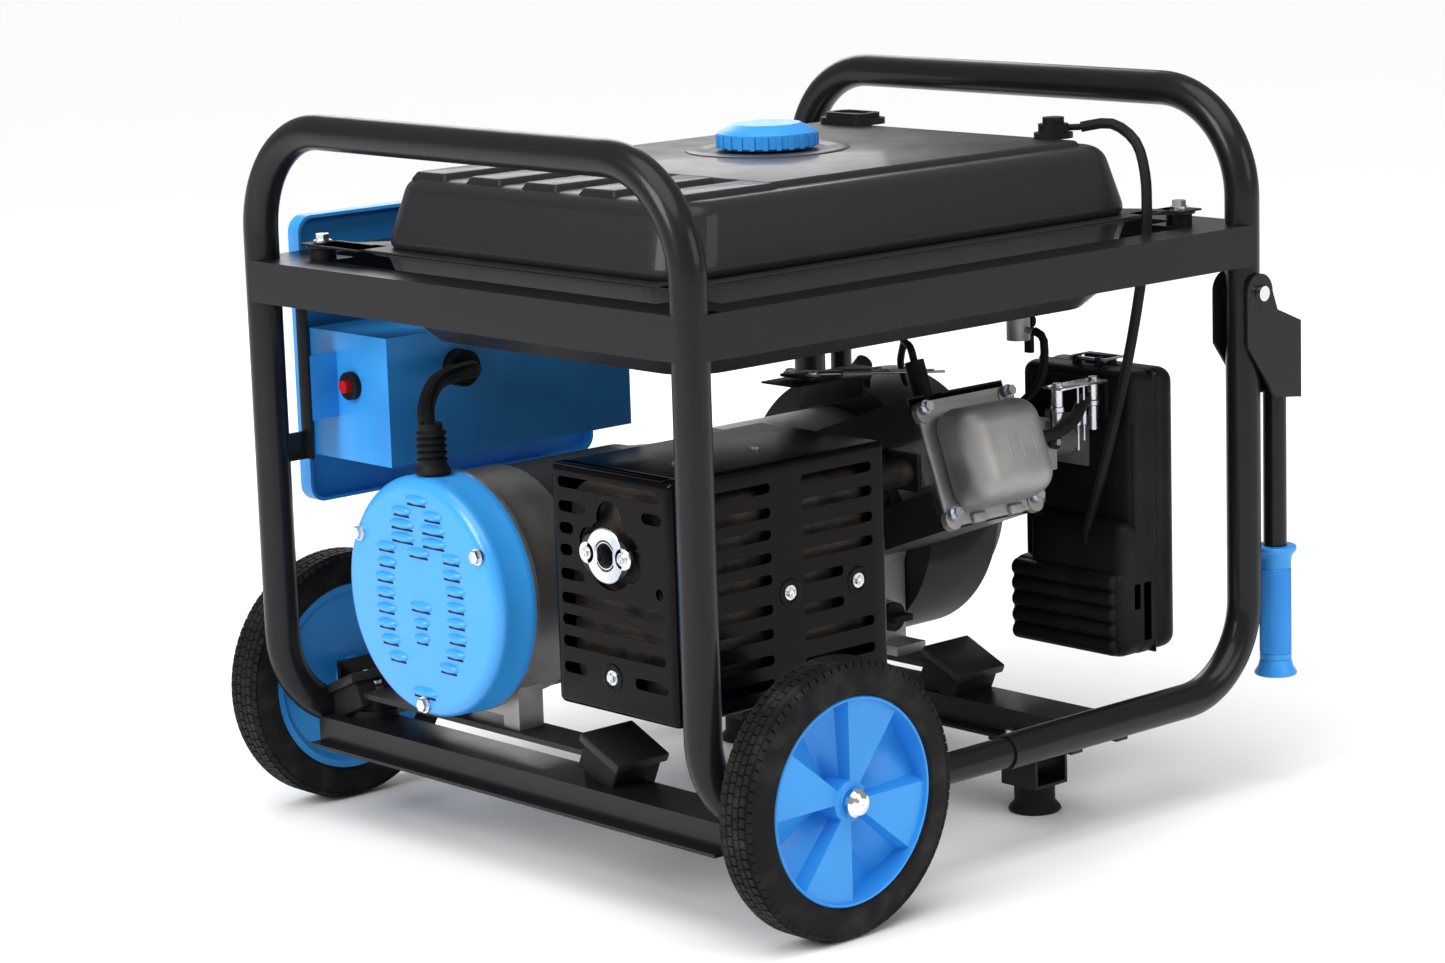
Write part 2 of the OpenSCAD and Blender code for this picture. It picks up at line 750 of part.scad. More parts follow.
// Flat bars that carry the alternator's and the engine's feet
module mount_bars() {
    color("#1a1a1c") placed() for (x = [bar_a_x, member_e_x]) difference() {
        translate([x, crank_y, bar_z + weld_gap]) round_plate(bar_w, mount_span + 44, 12, bar_t - weld_gap);
        for (p = mount_places()) translate([p.x, p.y, bar_z - 1])
            cylinder(r = bolt_r + weld_gap, h = bar_t + 2);
    }
}

// A hex head with its flange, standing on z = 0
module hex_head(r, h) {
    cylinder(r = r * 1.25, h = h * 0.3);
    translate([0, 0, h * 0.3]) cylinder(r = r, h = h * 0.7, $fn = 6);
}

// Bolts of the rubber mounts and the tank ears
module bolts() {
    ear_top = flange_z + 2 * flange_t + 2 * weld_gap;
    color("#b9bcc0") placed() {
        for (p = mount_places()) translate([p.x, p.y, 0]) {
            translate([0, 0, member_top - member_t - 7])
                cylinder(r = bolt_r, h = bar_top + 6 - member_top + member_t + 7);
            translate([0, 0, bar_top + weld_gap]) hex_head(7, 8);
            translate([0, 0, member_top - member_t - weld_gap - 7]) cylinder(r = 7, h = 7, $fn = 6);
        }
        for (sx = [-1, 1], sy = [-1, 1]) translate([sx * ear_x, sy * ear_y, 0]) {
            translate([0, 0, rail_top - rail_t - 7])
                cylinder(r = bolt_r, h = ear_top + 6 - rail_top + rail_t + 7);
            translate([0, 0, ear_top]) hex_head(6.5, 8);
            translate([0, 0, rail_top - rail_t - weld_gap - 7]) cylinder(r = 7, h = 7, $fn = 6);
        }
        for (a = [30, 150, 270]) translate([cover_x - weld_gap, crank_y, crank_z]) rotate([a, 0, 0])
            translate([0, cover_r - 13, 0]) rotate([0, -90, 0]) hex_head(6, 6);
        bore_frame() for (sx = [-1, 1], sy = [-1, 1])
            translate([sx * 53.5, sy * 49.5, head_t1 + 4 + 2 * weld_gap]) hex_head(5, 7);
        for (s = [-1, 1]) translate([member_e_x - member_w / 2 - member_lip / 2, s * foot_y, leg_z1 - 3]) {
            translate([0, 0, -5]) cylinder(r = 3, h = 3 + member_t + 11);
            translate([0, 0, 3 + member_t + 2 * weld_gap]) hex_head(4.5, 6);
            translate([0, 0, -5 - weld_gap]) cylinder(r = 5.5, h = 5, $fn = 6);
        }
    }
}

// ---------- control panel ----------

outlet_x = [fascia_x + 62, fascia_x + 142];
outlet_z = fascia_z + 112;
switch_at = [fascia_x + 268, fascia_z + 190];
meter_at = [fascia_x + 102, fascia_z + 196];
breaker_at = [fascia_x + 215, fascia_z + 112];
dc_at = [fascia_x + 275, fascia_z + 102];
face_y = fascia_y + fascia_t;
rocker_r = 15;
rocker_w = 20;

module panel_fascia() {
    color("#3f9ee8") placed() difference() {
        union() {
            difference() {
                translate([fascia_x + panel_l / 2, face_y, fascia_z + panel_h / 2]) rotate([90, 0, 0])
                    round_plate(panel_l, panel_h, 16, fascia_t - weld_gap);
                translate([fascia_x + panel_l / 2, face_y - panel_wall, fascia_z + panel_h / 2])
                    rotate([90, 0, 0])
                    round_plate(panel_l - 2 * panel_wall, panel_h - 2 * panel_wall, 14, fascia_t);
            }
            translate([switch_at.x - rocker_w / 2 - pass_gap - 4, face_y - fascia_t + 1, switch_at.y - 22])
                cube([rocker_w + 2 * pass_gap + 8, fascia_t - 2, 44]);
        }
        for (x = outlet_x) translate([x, fascia_y - 1, outlet_z]) rod_y(22 + weld_gap, 40);
        translate([meter_at.x, fascia_y - 1, meter_at.y]) rod_y(20 + weld_gap, 40);
        translate([breaker_at.x, fascia_y - 1, breaker_at.y]) rod_y(9 + weld_gap, 40);
        translate([dc_at.x, fascia_y - 1, dc_at.y]) rod_y(12 + weld_gap, 40);
        translate([switch_at.x - rocker_w / 2 - pass_gap, fascia_y - 1, switch_at.y - rocker_r - 2])
            cube([rocker_w + 2 * pass_gap, 40, 2 * rocker_r + 4]);
        translate([switch_at.x - rocker_w / 2 - 3, face_y - 9, switch_at.y])
            rod_x(2 + run_gap, rocker_w + 6);
    }
}

module panel_box() {
    color("#3f9ee8") placed() difference() {
        union() {
            translate([box_x, box_y, box_z]) cube([box_l, fascia_y - box_y - weld_gap, box_h]);
            translate([-hoop_x + 31 + weld_gap, base_y - 22, box_z + 40])
                cube([box_x + hoop_x - 30, 3, 60]);
        }
        translate([box_x + panel_wall, box_y + panel_wall, box_z + panel_wall])
            cube([box_l - 2 * panel_wall, fascia_y - box_y, box_h - 2 * panel_wall]);
        translate([box_x - 1, breaker_y, breaker_z]) rod_x(9 + weld_gap, panel_wall + 2);
        translate([harness_end.x, box_y - 1, harness_end.z]) rod_y(7, panel_wall + 2);
    }
}

// A push button's collar along X, and the button in it
module collar(l) {
    difference() {
        union() {
            translate([panel_wall, 0, 0]) rod_x(9, l);
            rod_x(9, panel_wall + 1);
            translate([-6 - weld_gap, 0, 0]) rod_x(13, 6);
        }
        translate([-10, 0, 0]) rod_x(6 + pass_gap, l + 9);
        translate([-10, 0, 0]) rod_x(2 + run_gap, l + 30);
    }
}

module push_button() {
    translate([-6 - button_travel - 3, 0, 0]) rod_x(6, 11);
    translate([-2, 0, 0]) rod_x(2, 12);
}

module reset_button() {
    color("#c02020") placed() translate([box_x, breaker_y, breaker_z]) push_button();
}

module breaker_button() {
    color("#e8e8e8") placed() translate([breaker_at.x, face_y, breaker_at.y]) rotate([0, 0, -90])
        push_button();
}

// Sockets, meter, breaker collars and earth terminal
module panel_outlets() {
    color("#2a2b2e") placed() {
        for (x = outlet_x) translate([x, face_y - 12, outlet_z]) difference() {
            union() {
                rod_y(22, 13);
                translate([0, 12 + weld_gap, 0]) rod_y(28, 5);
            }
            translate([0, 4, 0]) rod_y(19, 20);
        }
        translate([meter_at.x, face_y - 12, meter_at.y]) difference() {
            union() {
                rod_y(20, 13);
                translate([0, 12 + weld_gap, 0]) rod_y(25, 4);
            }
            translate([0, 14, 0]) rod_y(21, 6);
        }
        translate([dc_at.x, face_y - 12, dc_at.y]) difference() {
            union() {
                rod_y(12, 13);
                translate([0, 12 + weld_gap, 0]) rod_y(16, 5);
            }
            translate([0, 4, 0]) rod_y(9, 20);
        }
        translate([breaker_at.x, face_y, breaker_at.y]) rotate([0, 0, -90]) collar(8);
        translate([box_x, breaker_y, breaker_z]) collar(18);
        translate([fascia_x + 320, face_y + weld_gap, fascia_z + 36]) {
            rod_y(5, 5);
            translate([0, 5, 0]) rod_y(11, 6);
            rod_y(3, 20);
        }
    }
}

module engine_switch() {
    color("#c02020") placed() translate([switch_at.x, face_y - 9, switch_at.y]) {
        difference() {
            translate([-rocker_w / 2, 0, 0]) rod_x(rocker_r, rocker_w);
            translate([-rocker_w, -rocker_r * 2 - 6, -rocker_r * 2])
                cube([rocker_w * 2, rocker_r * 2, rocker_r * 4]);
            translate([-rocker_w, 26, 0]) rod_x(18, rocker_w * 2);
        }
        translate([-rocker_w / 2 - 2.5, 0, 0]) rod_x(2, rocker_w + 5);
    }
}

// ---------- alternator ----------

module alternator_cover() {
    wall = 2;
    color("#2f86e0") placed() translate([cover_x, crank_y, crank_z]) difference() {
        rotate([0, 90, 0]) rotate_extrude($fn = 96)
            polygon([[0, 0], [cover_r - 8, 0], [cover_r - 3, 1.6], [cover_r - 0.8, 5],
            [cover_r, 9], [cover_r, cover_depth - weld_gap], [cover_r - wall, cover_depth - weld_gap],
            [cover_r - wall, 10], [cover_r - wall - 2, 5], [cover_r - 10, wall], [0, wall]]);
        for (s = [-1, 1], k = [0:7]) translate([-1, s * 38 - 23, 66 - 19 * k]) cube([wall + 2, 46, 5]);
        for (z = [84, -74, -90]) translate([-1, -20, z]) cube([wall + 2, 40, 5]);
    }
}

module alternator_end_bracket() {
    l = stator_x - end_x;
    color("#b6b9bd") placed() difference() {
        union() {
            translate([end_x + weld_gap, crank_y, crank_z]) {
                rod_x(cover_r, 4);
                rod_x(stator_r + 2, l - 2 * weld_gap);
            }
            translate([bar_a_x - 14, crank_y - 62, bar_top + weld_gap]) cube([28, 124, 44]);
        }
        translate([end_x - 1, crank_y, crank_z]) rod_x(stator_r - 8, 28);
        translate([end_x + 37, crank_y, crank_z]) rod_x(stator_r - 8, l);
        for (k = [0:5]) translate([end_x, crank_y, crank_z]) rotate([60 * k, 0, 0])
            translate([0, 62, 0]) rod_x(20, l);
        translate([end_x - 1, crank_y, crank_z]) rod_x(shaft_r + run_gap, l);
        translate([bar_a_x - 20, crank_y - 40, bar_top - 1]) cube([40, 80, 12]);
    }
}

module stator() {
    color("#8d4a2a") placed() translate([stator_x, crank_y, crank_z])
        ring_x(stator_r, rotor_r + 2, adapter_x - stator_x - weld_gap);
}

module rotor() {
    color("#6b6f75") placed() translate([stator_x + 6, crank_y, crank_z]) difference() {
        rod_x(rotor_r, adapter_x - stator_x - 12);
        translate([-1, 0, 0]) rod_x(shaft_r + weld_gap, 200);
        for (k = [0:3]) rotate([90 * k + 45, 0, 0]) translate([-1, rotor_r - 8, -7]) cube([200, 20, 14]);
    }
}

module alternator_adapter() {
    l = case_x - adapter_x;
    color("#b6b9bd") placed() translate([adapter_x, crank_y, crank_z]) difference() {
        union() {
            rod_x(stator_r, 14);
            rotate([0, 90, 0]) cylinder(r1 = stator_r - 1, r2 = 90, h = l - weld_gap);
        }
        translate([-1, 0, 0]) rotate([0, 90, 0]) cylinder(r1 = stator_r - 8, r2 = 80, h = l - 8);
        translate([-1, 0, 0]) rod_x(shaft_r + 3, l + 2);
        for (a = [0, 180]) rotate([a, 0, 0]) translate([30, 40, -26]) cube([70, 80, 52]);
    }
}

// Loom from the alternator's cover to the panel's box
harness_end = [-200, box_y, 424];
harness_route = [[cover_x + 20, crank_y, crank_z + cover_r + 12],
    [cover_x + 22, crank_y + 6, crank_z + cover_r + 34],
    [-300, 112, 408], [-268, 136, 424], [-235, 146, 428], [-208, 158, 426], [-200, box_y - 13.9, 424]];
module harness() {
    color("#1a1a1a") placed() {
        hose(harness_route, 8, 3, 12);
        translate([cover_x + 20, crank_y, crank_z + cover_r + weld_gap]) cylinder(r1 = 16, r2 = 11, h = 14);
        translate([harness_end.x, harness_end.y - 14, harness_end.z]) rod_y(17, 14 - weld_gap);
    }
}

// ---------- engine ----------

sump_z0 = engine_foot_z + weld_gap;
module crankcase() {
    l = case_l;
    color("#a9acb0") placed() difference() {
        union() {
            translate([case_x, crank_y, crank_z]) rod_x(case_r, l);
            translate([case_x, crank_y - 92, sump_z0]) cube([l, 184, crank_z - sump_z0]);
            translate([member_e_x - 20, crank_y - 120, sump_z0]) cube([38, 240, 9]);
            bore_frame() translate([-58, -58, 60]) cube([116, 116, head_t0 - 60 - weld_gap]);
            translate([140, crank_y - 102, sump_z0 + 35]) rod_y(15, 14);
        }
        translate([case_x + 8, crank_y, crank_z]) rod_x(case_r - 7, l - 16);
        translate([case_x + 8, crank_y - 85, sump_z0 + 7]) cube([l - 16, 170, crank_z - sump_z0 - 7]);
        bore_frame() cylinder(r = 35, h = head_t0 + 10);
        translate([case_x - 1, crank_y, crank_z]) rod_x(shaft_r + run_gap, l + 2);
        translate([140, crank_y - 110, sump_z0 + 35]) rod_y(9 + run_gap, 40);
    }
}

module cylinder_fins(n) {
    for (k = [0:n - 1]) translate([-55, -55, head_t0 + 20 + 11 * k]) cube([110, 110, 3]);
}

module engine_cylinder() {
    color("#a9acb0") placed() bore_frame() difference() {
        union() {
            translate([-56, -56, head_t0]) cube([112, 112, 10]);
            translate([0, 0, head_t0]) cylinder(r = 46, h = 130);
            cylinder_fins(9);
            translate([-55, -55, head_t1 - 55]) cube([110, 110, 55 - weld_gap]);
            translate([55, -18, head_t1 - 50]) cube([6, 36, 36]);
            translate([-61, -18, head_t1 - 50]) cube([7, 36, 36]);
        }
        translate([0, 0, head_t0 - 1]) cylinder(r = 34, h = 124);
        translate([-20, 0, head_t1 - 32]) rod_x(11, 100);
        translate([-70, 0, head_t1 - 32]) rod_x(11, 60);
        translate([-28, 20, head_t1 - 20]) rod_y(6 + weld_gap, 50);
    }
}

module valve_cover() {
    h = 54;
    color("#a9a49e") placed() bore_frame() translate([0, 0, head_t1 + weld_gap]) difference() {
        union() {
            round_plate(124, 116, 14, 4);
            round_plate(104, 96, 12, h - 8);
            translate([0, 0, h - 8]) round_plate(98, 90, 12, 4);
            translate([0, 0, h - 4]) round_plate(88, 80, 10, 4);
        }
        translate([0, 0, -1]) round_plate(100, 92, 10, h - 8);
    }
}

// Sheet duct that carries the cooling air past the fins
module engine_shroud() {
    color("#161618") placed() bore_frame() translate([0, 0, head_t0 + 12]) {
        l = 158;
        difference() {
            translate([-62, -62, 0]) cube([124, 124, l]);
            translate([-60, -60, -1]) cube([120, 120, l + 2]);
            translate([-70, -25, l - 64]) cube([140, 50, 100]);
            translate([-28, 50, l - 8]) rod_y(14, 20);
            translate([50, -50, 20]) cube([20, 100, 60]);
        }
    }
}

module blower_housing() {
    color("#161618") placed() translate([blower_x, crank_y, crank_z]) difference() {
        union() {
            rod_x(blower_r, blower_l - weld_gap);
            for (a = [30, 90, 200, 320]) rotate([a, 0, 0]) translate([-2 + weld_gap, 80, 0]) rod_x(8, 3);
            translate([-14, -78, 92]) rod_x(3, 15);
        }
        translate([2, 0, 0]) rod_x(blower_r - 2, blower_l);
        translate([-10, 0, 0]) rod_x(40, 30);
        translate([-5, -92, 60]) rod_x(20, 20);
    }
}

module recoil_housing() {
    color("#2f86e0") placed() translate([recoil_x, crank_y, crank_z]) difference() {
        union() {
            rod_x(blower_r, 3);
            rotate([0, 90, 0]) cylinder(r1 = 116, r2 = 104, h = recoil_h);
            rotate([45, 0, 0]) translate([recoil_h / 2, 100, 0]) rod_y(9, 20);
        }
        translate([-1, 0, 0]) rotate([0, 90, 0]) cylinder(r1 = 114, r2 = 102, h = recoil_h - 1);
        for (k = [0:23]) rotate([15 * k, 0, 0]) translate([recoil_h - 3, 50, -3]) cube([8, 44, 6]);
        rotate([45, 0, 0]) translate([recoil_h / 2, 90, 0]) rod_y(2 + pass_gap, 40);
    }
}

module recoil_grip() {
    color("#17171a") placed() translate([recoil_x + recoil_h / 2, crank_y, crank_z]) rotate([45, 0, 0]) {
        translate([0, 26, 0]) rod_y(2, 102);
        translate([0, 121, 0]) rod_y(8, 10);
        translate([0, 134, -40]) cylinder(r = 9, h = 80);
    }
}

module flywheel_fan() {
    color("#8f9398") placed() translate([blower_x + 12, crank_y, crank_z]) difference() {
        union() {
            rod_x(104, 14);
            rod_x(34, 56);
            for (k = [0:15]) rotate([22.5 * k, 0, 0]) translate([12, 60, -1.5]) cube([40, 42, 3]);
            translate([12, 0, 0]) ring_x(72, 62, 20);
        }
        translate([-1, 0, 0]) rod_x(shaft_r + weld_gap, 90);
    }
}

module crankshaft() {
    web_t = 12;
    half = 16;
    from = end_x + 20;
    color("#9a9da2") placed() {
        translate([from, crank_y, crank_z]) rod_x(shaft_r, cyl_x - half - from - 1);
        translate([cyl_x + half + 1, crank_y, crank_z]) rod_x(shaft_r, blower_x + 74 - cyl_x - half - 1);
        for (s = [-half - web_t, half]) translate([cyl_x + s, crank_y, crank_z]) rod_x(52, web_t);
        bore_frame() translate([-half - 2, 0, 27]) rod_x(14, 2 * half + 4);
    }
}

// ---------- fuel, air and exhaust ----------

module carburettor() {
    head_x = cyl_x + 61 + weld_gap;
    color("#9fa2a6") placed() translate([0, carb_y, carb_z]) difference() {
        union() {
            translate([head_x, -22, -20]) cube([5, 44, 40]);
            translate([head_x, 0, 0]) rod_x(15, air_x + 26 - head_x - weld_gap);
            translate([carb_x + 6, -22, -22]) cube([42, 44, 47]);
            translate([carb_x + 27, 0, -52]) cylinder(r = 19, h = 34);
            translate([carb_x + 20, 0, 24]) cylinder(r = 3, h = 9);
            translate([air_x + 22 - weld_gap, -26, -24]) cube([4, 52, 48]);
            translate([carb_x + 38, -34, 6]) rod_y(3, 14);
        }
        translate([head_x - 1, 0, 0]) rod_x(10, 120);
    }
}

module choke_lever() {
    color("#26262a") placed() translate([carb_x + 38, carb_y - 31, carb_z + 6]) difference() {
        union() {
            rod_y(7, 5);
            translate([-4, 0, 0]) cube([8, 4, 38]);
            translate([0, 0, 38]) rod_y(8, 4);
        }
        translate([0, -1, 0]) rod_y(3 + run_gap, 8);
    }
}

module governor_arm() {
    color("#b9bcc0") placed() translate([blower_x - 10, crank_y - 78, crank_z + 92]) difference() {
        union() {
            rod_x(8, 4);
            translate([0, -112, -5]) cube([3, 110, 10]);
        }
        translate([-1, 0, 0]) rod_x(3 + run_gap, 8);
        translate([-1, -106, 0]) rod_x(2, 8);
    }
}

module fuel_tap() {
    color("#8e8f94") placed() translate([tap_at.x, tap_at.y, tank_bottom]) difference() {
        union() {
            translate([0, 0, -34]) cylinder(r = 11, h = 34 - weld_gap);
            translate([0, 0, -5]) cylinder(r = 6, h = 12);
            translate([0, -20, -24]) rod_y(3, 12);
            translate([10, 0, -18]) rod_x(3, 10);
        }
        translate([0, 0, -20]) cylinder(r = 3, h = 40);
    }
}

module fuel_tap_lever() {
    color("#c02020") placed() translate([tap_at.x + 12, tap_at.y, tank_bottom - 18]) difference() {
        union() {
            rod_x(7, 5);
            translate([0, -4, -30]) cube([5, 8, 30]);
        }
        translate([-1, 0, 0]) rod_x(3 + run_gap, 8);
    }
}

// Plug, its cap and the lead to the coil on the blower
plug_t = head_t1 - 20;
plug_y = crank_y - plug_t * cos(cyl_tilt);
plug_z = crank_z + plug_t * sin(cyl_tilt);
function off_bore(u) = [cyl_x - 28, plug_y + u * sin(cyl_tilt), plug_z + u * cos(cyl_tilt)];
lead_route = [off_bore(95), off_bore(108), [80, -110, 440], [110, -80, 432], [140, -45, 408],
    [158, -30, 392], [171.8, -20, 380]];
module spark_lead() {
    color("#1b1b1b") placed() {
        bore_frame() translate([-28, 40, plug_t]) {
            rod_y(5.5, 20);
            translate([0, 20, 0]) rod_y(9, 35);
        }
        hose(lead_route, 3.5, 3, 8);
    }
}

module dipstick() {
    color("#17171a") placed() translate([140, crank_y - 102 - weld_gap, sump_z0 + 35]) {
        translate([0, -6, 0]) rod_y(14, 6);
        translate([-12, -18, -3]) cube([24, 13, 6]);
        rod_y(9, 22);
        translate([0, 20, 0]) rod_y(2.5, 60);
    }
}

module air_box_base() {
    wall = 2.5;
    color("#1b1b1d") placed() difference() {
        union() {
            translate([air_x, air_y, air_z]) cube([seam_x - air_x - weld_gap, air_w, lobe_h]);
            translate([upper_x, air_y, air_z]) cube([seam_x - upper_x - weld_gap, air_w, air_h]);
            for (y = [-16, 12]) translate([seam_x - 15, air_y + air_w / 2 + y, air_z + air_h - 1])
                cube([10, 4, 9]);
            translate([nipple.x, nipple.y, air_z + lobe_h - 1]) cylinder(r = 3, h = 23);
        }
        translate([air_x + wall, air_y + wall, air_z + wall])
            cube([80, air_w - 2 * wall, lobe_h - 2 * wall]);
        translate([upper_x + wall, air_y + wall, air_z + wall])
            cube([80, air_w - 2 * wall, air_h - 2 * wall]);
        translate([upper_x - 1, carb_y, carb_z]) rod_x(12, 10);
        translate([seam_x - 10, air_y, air_z + air_h + 4]) rod_y(2 + run_gap, air_w);
    }
}

module air_box_cover() {
    wall = 2.5;
    l = air_x + air_d - seam_x;
    color("#1b1b1d") placed() difference() {
        union() {
            translate([seam_x + l - 4, air_y + air_w / 2, air_z + air_h / 2]) rotate([0, 90, 0])
                linear_extrude(4) square([air_h - 6, air_w - 6], center = true);
            translate([seam_x, air_y, air_z]) cube([l - 4, air_w, air_h]);
            translate([seam_x + 2, air_y + air_w / 2 - 17, air_z + air_h - 1]) cube([10, 34, 8]);
        }
        translate([seam_x - 1, air_y + wall, air_z + wall])
            cube([l - 4 - wall + 1, air_w - 2 * wall, air_h - 2 * wall]);
    }
}

module air_filter() {
    color("#5c5f3a") placed() translate([seam_x - 14, air_y + 5, air_z + 90])
        cube([24, air_w - 10, air_h - 95]);
}

// Wire clip on the air box, hinged on the base
module air_box_clip() {
    clip_z = air_z + air_h;
    color("#c9ccd0") placed() translate([seam_x - 10, air_y + air_w / 2 - 22, clip_z + 4]) {
        rod_y(2, 44);
        for (y = [0, 42]) translate([0, y, 0]) cube([26, 2, 2]);
        translate([24, 0, 0]) cube([2.5, 44, 2]);
    }
}

muffler_at = [guard_x + 12, guard_y + 12, guard_z + 14];
muffler_l = guard_l - 26;
muffler_w = guard_w - 26;
muffler_h = guard_h - 28;
outlet_y = -149;
outlet_z2 = 312;
module muffler() {
    wall = 1.5;
    color("#5d5854") placed() difference() {
        union() {
            translate([muffler_at.x, muffler_at.y + muffler_w / 2, muffler_at.z + muffler_h / 2])
                rotate([0, 90, 0])
                round_plate(muffler_h, muffler_w, 30, muffler_l);
            translate([muffler_at.x - 16, outlet_y, outlet_z2]) rod_x(15, 20);
            translate([muffler_at.x - 18, outlet_y, outlet_z2]) rotate([0, 90, 0])
                round_plate(34, 62, 16, 4);
            translate([muffler_at.x + muffler_l - 4, carb_y, carb_z])
                rod_x(13, cyl_x - 62 - muffler_at.x - muffler_l + 4 - weld_gap);
            translate([cyl_x - 66, carb_y - 18, carb_z - 17]) cube([5 - weld_gap, 36, 34]);
            for (z = [40, 150]) translate([muffler_at.x + 110, guard_y + 1.2 + weld_gap, guard_z + z])
                rod_y(6, 14);
        }
        translate([muffler_at.x + wall, muffler_at.y + muffler_w / 2, muffler_at.z + muffler_h / 2])
            rotate([0, 90, 0])
            round_plate(muffler_h - 2 * wall, muffler_w - 2 * wall, 29, muffler_l - 2 * wall);
        translate([muffler_at.x - 30, outlet_y, outlet_z2]) rod_x(12, 40);
        for (s = [-1, 1]) translate([muffler_at.x - 30, outlet_y + s * 23, outlet_z2]) rod_x(3.3, 16);
        translate([muffler_at.x + muffler_l - 10, carb_y, carb_z]) rod_x(10.5, 160);
    }
}

module muffler_guard() {
    wall = 1.2;
    color("#17171a") placed() translate([guard_x, guard_y, guard_z]) difference() {
        cube([guard_l, guard_w, guard_h]);
        translate([wall, wall, wall]) cube([guard_l - 2 * wall, guard_w - 2 * wall, guard_h - 2 * wall]);
        for (k = [0:8]) translate([16, -1, 26 + 20 * k]) cube([88, 3, 6]);
        for (k = [0:6]) translate([138, -1, 26 + 26 * k]) cube([92, 3, 6]);
        translate([-1, 24, 194]) cube([3, 108, 6]);
        for (k = [0:3]) translate([-1, 16, 24 + 22 * k]) cube([3, 60, 6]);
        for (k = [0:3]) translate([-1, 94, 24 + 22 * k]) cube([3, 44, 6]);
        for (k = [0:2], s = [0, 1]) translate([-1, 14 + 106 * s, 116 + 22 * k]) cube([3, 22, 6]);
        translate([-1, outlet_y - guard_y - 36, outlet_z2 - guard_z - 24]) cube([3, 72, 48]);
        for (k = [0:5]) translate([30 + 34 * k, 20, guard_h - 2]) cube([8, 112, 4]);
        for (k = [0:4]) translate([40 + 38 * k, guard_w - 2, 20]) cube([8, 4, 150]);
        translate([guard_l - 2, carb_y - guard_y - 24, carb_z - guard_z - 24]) cube([4, 48, 48]);
        translate([30, 30, -1]) cube([180, 90, 4]);
    }
}

// ---------- selection ----------

hoop_wheel_end();
hoop_handle_end();
tank_rails();
crossmember_alternator();
crossmember_engine();
leg_brackets();
rubber_feet();
pivot_bolts();
tyre_left();
hub_left();
tyre_right();
hub_right();
handle_left();
grip_left();
handle_right();
grip_right();
tank_upper();
tank_lower();
cap_core();
cap_shell();
fuel_gauge();
vent_valve();
hoses();
rubber_mounts();
mount_bars();
bolts();
panel_fascia();
panel_box();
reset_button();
panel_outlets();
engine_switch();
breaker_button();
alternator_cover();
alternator_end_bracket();
stator();
rotor();
alternator_adapter();
harness();
crankcase();
engine_cylinder();
valve_cover();
engine_shroud();
blower_housing();
recoil_housing();
recoil_grip();
flywheel_fan();
crankshaft();
carburettor();
choke_lever();
governor_arm();
fuel_tap();
fuel_tap_lever();
spark_lead();
dipstick();
air_box_base();
air_box_cover();
air_filter();
air_box_clip();
muffler();
muffler_guard();
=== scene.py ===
import json
import math
import bpy
from mathutils import Matrix, Vector


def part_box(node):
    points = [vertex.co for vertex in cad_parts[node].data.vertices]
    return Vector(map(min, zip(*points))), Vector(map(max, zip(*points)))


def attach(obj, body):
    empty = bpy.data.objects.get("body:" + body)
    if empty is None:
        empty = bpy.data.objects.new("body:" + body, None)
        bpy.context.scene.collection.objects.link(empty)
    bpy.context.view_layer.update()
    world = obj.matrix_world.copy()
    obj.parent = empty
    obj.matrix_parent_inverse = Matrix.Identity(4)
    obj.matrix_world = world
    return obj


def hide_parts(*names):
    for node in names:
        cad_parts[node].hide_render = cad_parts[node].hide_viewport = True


MM = 0.001
UPRIGHT = 80                # bevel angle, in degrees, that takes only a plate's square corners
OUTLET = (-149, 312)        # across and up, the muffler's outlet, mm
INLET = ((-181, 300), (-133, 366))   # across and up, the guard's opening for the exhaust pipe, mm
TANK_MIDDLE = (-41.5, -28)  # along and across, the middle of the tank, mm
RAIL_MIDDLE = -24.5         # along, the middle of the tank rails, mm
EARS = (306, 245)           # along and across, tank ears from the rails' middle, mm
EAR_HALF = 15               # half the width of a tank ear, mm


# ---------- modelling helpers ----------

def fresh(add, **settings):
    """Adds a primitive with nothing else selected, and returns it."""
    bpy.ops.object.select_all(action="DESELECT")
    add(**settings)
    return bpy.context.object


def edit(piece, mode="VERT"):
    """Enters edit mode on one piece with nothing selected."""
    bpy.ops.object.select_all(action="DESELECT")
    piece.select_set(True)
    bpy.context.view_layer.objects.active = piece
    bpy.ops.object.mode_set(mode="EDIT")
    bpy.ops.mesh.select_mode(type=mode)
    bpy.ops.mesh.select_all(action="DESELECT")
    bpy.ops.object.mode_set(mode="OBJECT")


def pick(piece, test, faces=False):
    """Selects the vertices or faces that pass a test, and enters edit mode."""
    edit(piece, "FACE" if faces else "VERT")
    for part in (piece.data.polygons if faces else piece.data.vertices):
        part.select = bool(test(part))
    bpy.ops.object.mode_set(mode="EDIT")


def leave():
    bpy.ops.object.mode_set(mode="OBJECT")


def modify(piece, kind, **settings):
    """Adds a modifier and applies it."""
    bpy.ops.object.select_all(action="DESELECT")
    piece.select_set(True)
    bpy.context.view_layer.objects.active = piece
    made = piece.modifiers.new(kind.lower(), kind)
    for name, value in settings.items():
        setattr(made, name, value)
    bpy.ops.object.modifier_apply(modifier=made.name)
    return piece


def bevel(piece, width, segments=3, angle=30):
    return modify(piece, "BEVEL", width=width, segments=segments, limit_method="ANGLE",
                  angle_limit=math.radians(angle))


def at(x, y, z):
    """A point given in millimetres."""
    return Vector((x, y, z)) * MM


def cut_out(piece, cutters):
    """Takes the joined cutters out of a piece."""
    tool = joined(cutters)
    modify(piece, "BOOLEAN", object=tool, operation="DIFFERENCE", solver="EXACT", use_self=True)
    bpy.data.objects.remove(tool)
    return piece


